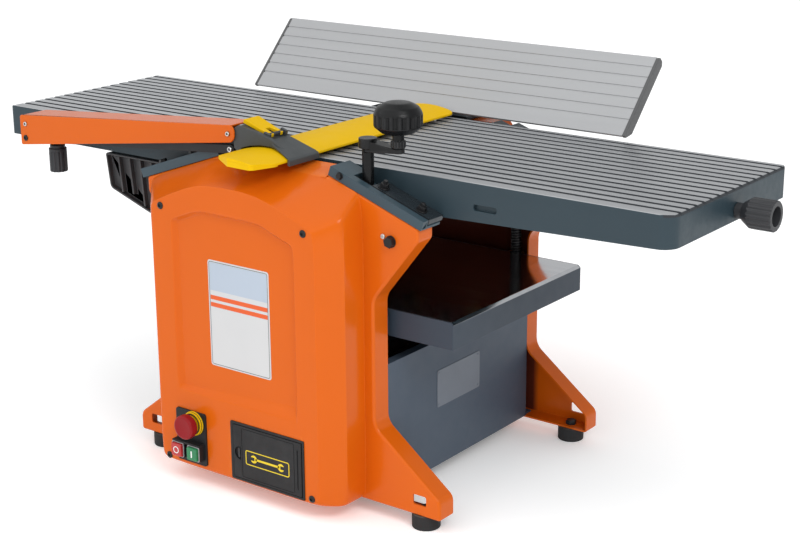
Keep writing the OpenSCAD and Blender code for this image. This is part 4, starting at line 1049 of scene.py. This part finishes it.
def on_lever(x, y, z):
    """A point of the clamp lever in millimetres, from its own tilted axes."""
    return (x * math.cos(TILT) + z * math.sin(TILT), -182 + y, 489 - x * math.sin(TILT) + z * math.cos(TILT))


def clamp_lever():
    """A wedge that thins down into two prongs on a cross pin."""
    bm = bmesh.new()
    body = [(-55, 0.9), (-24, 0.9), (-24, 5.0), (-33, 5.7), (-52, 7.3), (-55, 6.3)]
    add_prism(bm, body, lambda u, v, h: on_lever(u, h, v), -14, 14)
    for s in (-1, 1):
        lo = [(-25, 4.4), (-6, 7.0), (-6, 11.2), (-25, 13.8)]
        loops = []
        for z in (0, 1):
            loop = []
            for (x, y), top in zip(lo, (5.1, 5.7, 5.7, 5.1)):
                loop.append(bm.verts.new(P(*on_lever(x, s * y, top if z else 0.9))))
            loops.append(loop)
        bm.faces.new(loops[0])
        bm.faces.new(loops[1][::-1])
        for i in range(4):
            bm.faces.new((loops[0][i], loops[0][(i + 1) % 4], loops[1][(i + 1) % 4], loops[1][i]))
    o = from_bm("clamp_lever_wedge", bm)
    round_edges(o, 0.7, 3)
    smooth(o)
    dress(o, "yellow", "clamp_lever", nodes=("guard_clamp_lever",))
    bm = bmesh.new()
    add_lathe(bm, [(0, 0), (2.1, 0), (2.5, 0.4), (2.5, 35.6), (2.1, 36), (0, 36)], on_lever(-9, -18, 3.6), (0, 1, 0), 24)
    fastener("clamp_lever_pin", bm, "charcoal", "clamp_lever", slot="black_plastic")


def guard_nose():
    """The turned-down rim along the faceted nose of the guard."""
    plan = rounded([(-47.6, -240, 0), (-47.6, -250.4, 3), (-8, -277.7, 6), (32, -277.7, 8), (43.6, -244.4, 4), (43.6, -238, 0)])
    bm = bmesh.new()
    rows = []
    for x, y in plan:
        d = Vector((-2 - x, -236 - y)).normalized()
        top = 479.8 - 7.2 * ((x + 2) / 46.0) ** 2
        low = max(468.3, top - 11.0)
        rows.append([bm.verts.new(P(x + d.x * k, y + d.y * k, z)) for k, z in ((0, top - 0.2), (0, low), (2.4, low), (2.4, top - 0.2))])
    for a, c in zip(rows, rows[1:]):
        for i in range(4):
            bm.faces.new((a[i], a[(i + 1) % 4], c[(i + 1) % 4], c[i]))
    bm.faces.new(rows[0])
    bm.faces.new(rows[-1][::-1])
    o = from_bm("guard_nose_rim", bm)
    round_edges(o, 0.5, 2, 40)
    smooth(o, 30)
    dress(o, "yellow", "bridge_guard", slot="yellow_plastic")


def guard_holder():
    """The clamp holder, its long edges well rounded away from the lever's fork."""
    bm = node_bm("guard_holder", False)
    fork, low = P(-8, -182, 486), P(0, 0, 468).z
    picked = []
    for e in bm.edges:
        if not e.is_manifold or not e.is_convex or e.calc_length() < 0.006 or e.calc_face_angle(0.0) < math.radians(35):
            continue
        if any(v.co.z < low or (abs(v.co.x - fork.x) < 0.0125 and abs(v.co.y - fork.y) < 0.0215 and v.co.z > fork.z)
               for v in e.verts):
            continue
        picked.append(e)
    bmesh.ops.bevel(bm, geom=picked, offset=0.0011, offset_type="OFFSET", segments=3, profile=0.5, affect="EDGES",
                    clamp_overlap=False)
    bmesh.ops.triangulate(bm, faces=[f for f in bm.faces if len(f.verts) > 4])
    o = from_bm("guard_holder_finished", bm)
    smooth(o, 42)
    dress(o, "holder", "guard_holder", nodes=("guard_holder",))


def guard_parts():
    refine("guard_arm", "orange_flat", 0.9, 3)
    refine("guard_link", "link", 0.6, 2)
    refine("guard_bracket", "charcoal", 1.0, 3)
    guard_holder()
    refine("bridge_guard", "yellow", 0.8, 3)
    clamp_lever()
    guard_nose()
    refine("guard_height_knob", "charcoal", 0.8, 3)
    # pivot screws on the arm and the link
    bm = bmesh.new()
    socket_screw(bm, (-470, -208.9, 456), (0, -1, 0), 6.6, 2.0)
    fastener("arm_pivot_screw", bm, "zinc", "frame", slot="bright_steel")
    bm = bmesh.new()
    socket_screw(bm, (-68, -209.2, 491.5), (0, -1, 0), 6.6, 1.9)
    fastener("holder_pivot_screw", bm, "zinc", "guard_holder", slot="bright_steel")
    bm = bmesh.new()
    socket_screw(bm, (-68, -205.5, 470), (0, -1, 0), 7.6, 2.4)
    fastener("holder_link_screw", bm, "zinc", "guard_holder", slot="bright_steel")
    bm = bmesh.new()
    socket_screw(bm, (-471, -208.9, 435), (0, -1, 0), 8.6, 1.8)
    fastener("arm_screw", bm, "bolt", "guard_arm", slot="black_steel")


# ---------------------------------------------------------------- everything else
def plain(node, mat):
    o = NODES[node]
    o.data.materials.clear()
    o.data.materials.append(M[mat])


def the_rest():
    refine("infeed_table", "infeed_table", 0.45, 2, 30, clamp=False)
    refine("outfeed_table", "table", 0.45, 2, 30, clamp=False)
    refine("thicknesser_bed", "bed", 0.6, 2)
    refine("table_brackets", "bracket", 0.5, 2)
    refine("infeed_runners", "runner", 0.6, 2)
    refine("outfeed_runners", "runner", 0.6, 2)
    refine("cross_panels", "pale_slate", 0.5, 2)
    refine("base_tray", "pale_slate", 0.4, 2)
    refine("rear_cover", "orange_flat", 3.0, 4)
    refine("rubber_feet", "rubber", 1.6, 3)
    refine("chip_hood", "hood", 1.0, 3)
    refine("crank_arm", "knob", 0.9, 3)
    refine("crank_knob", "knob", 0.7, 3)
    bm = bmesh.new()
    ridge = lambda k, a: 0.45 * math.cos(14 * a) if k in (2, 3) else 0.0
    add_lathe(bm, [(7.2, 500.2), (8.6, 500.2), (9.3, 501.2), (9.3, 508.6), (8.4, 509.8), (7.2, 510.2), (7.2, 500.2)],
              (188, -175, 0), (0, 0, 1), 112, wave=ridge)
    fastener("crank_stem_collar", bm, "knob", "crank", slot="black_plastic")
    refine("depth_knob", "charcoal", 0.5, 2)
    refine("fence", "fence", 0.3, 2, 30)
    refine("fence_end_caps", "cap", 0.8, 3)
    refine("fence_carriage", "black_steel", 0.35, 2, clamp=True)
    refine("fence_base", "slate", 0.9, 3)
    refine("fence_slide_lever", "black", 1.0, 3)
    refine("fence_tilt_lever", "black", 1.0, 3)
    for node, mat in (("cutter_block", "steel"), ("planer_knives", "steel"), ("knife_wedges", "zinc"),
                      ("cutter_bearings", "motor"), ("cutter_pulley", "steel"), ("motor", "motor"),
                      ("motor_pulley", "steel"), ("drive_belt", "belt"), ("infeed_feed_roller", "steel"),
                      ("outfeed_feed_roller", "rubber"), ("roller_bushes", "bronze"), ("feed_gearbox", "motor"),
                      ("feed_chain", "chain"), ("kickback_rake", "zinc"), ("bed_nuts", "bronze"),
                      ("screw_bushes", "motor"), ("lift_chain", "chain")):
        plain(node, mat)
    for node, x, y, top, shaft in (("lead_screw_front_infeed", 140, -175, 440, 492),
                                   ("lead_screw_front_outfeed", -140, -175, 433, None),
                                   ("lead_screw_rear_infeed", 140, 175, 433, None),
                                   ("lead_screw_rear_outfeed", -140, 175, 433, None)):
        lead_screw(node, x, y, top, shaft)
    # a blank rating plate on the end panel
    bm = bmesh.new()
    add_prism(bm, rounded(rect(-59, 109, 44, 163, 3)), lambda u, v, h: (h, u, v), 165.0, 165.7)
    for y in (-55, 40):
        for z in (113, 159):
            add_lathe(bm, [(0, 0), (1.7, 0), (1.5, 0.5), (0.8, 0.85), (0, 0.95)], (165.6, y, z), (1, 0, 0), 14)
    o = from_bm("end_plate", bm)
    smooth(o, 30)
    dress(o, "plate_dark", "frame", slot="bright_steel")


camera()
studio()
front_cover()
side_panel("front_side_panel", -1, True)
side_panel("rear_side_panel", 1, False)
fasteners()
switch_and_box()
guard_parts()
the_rest()
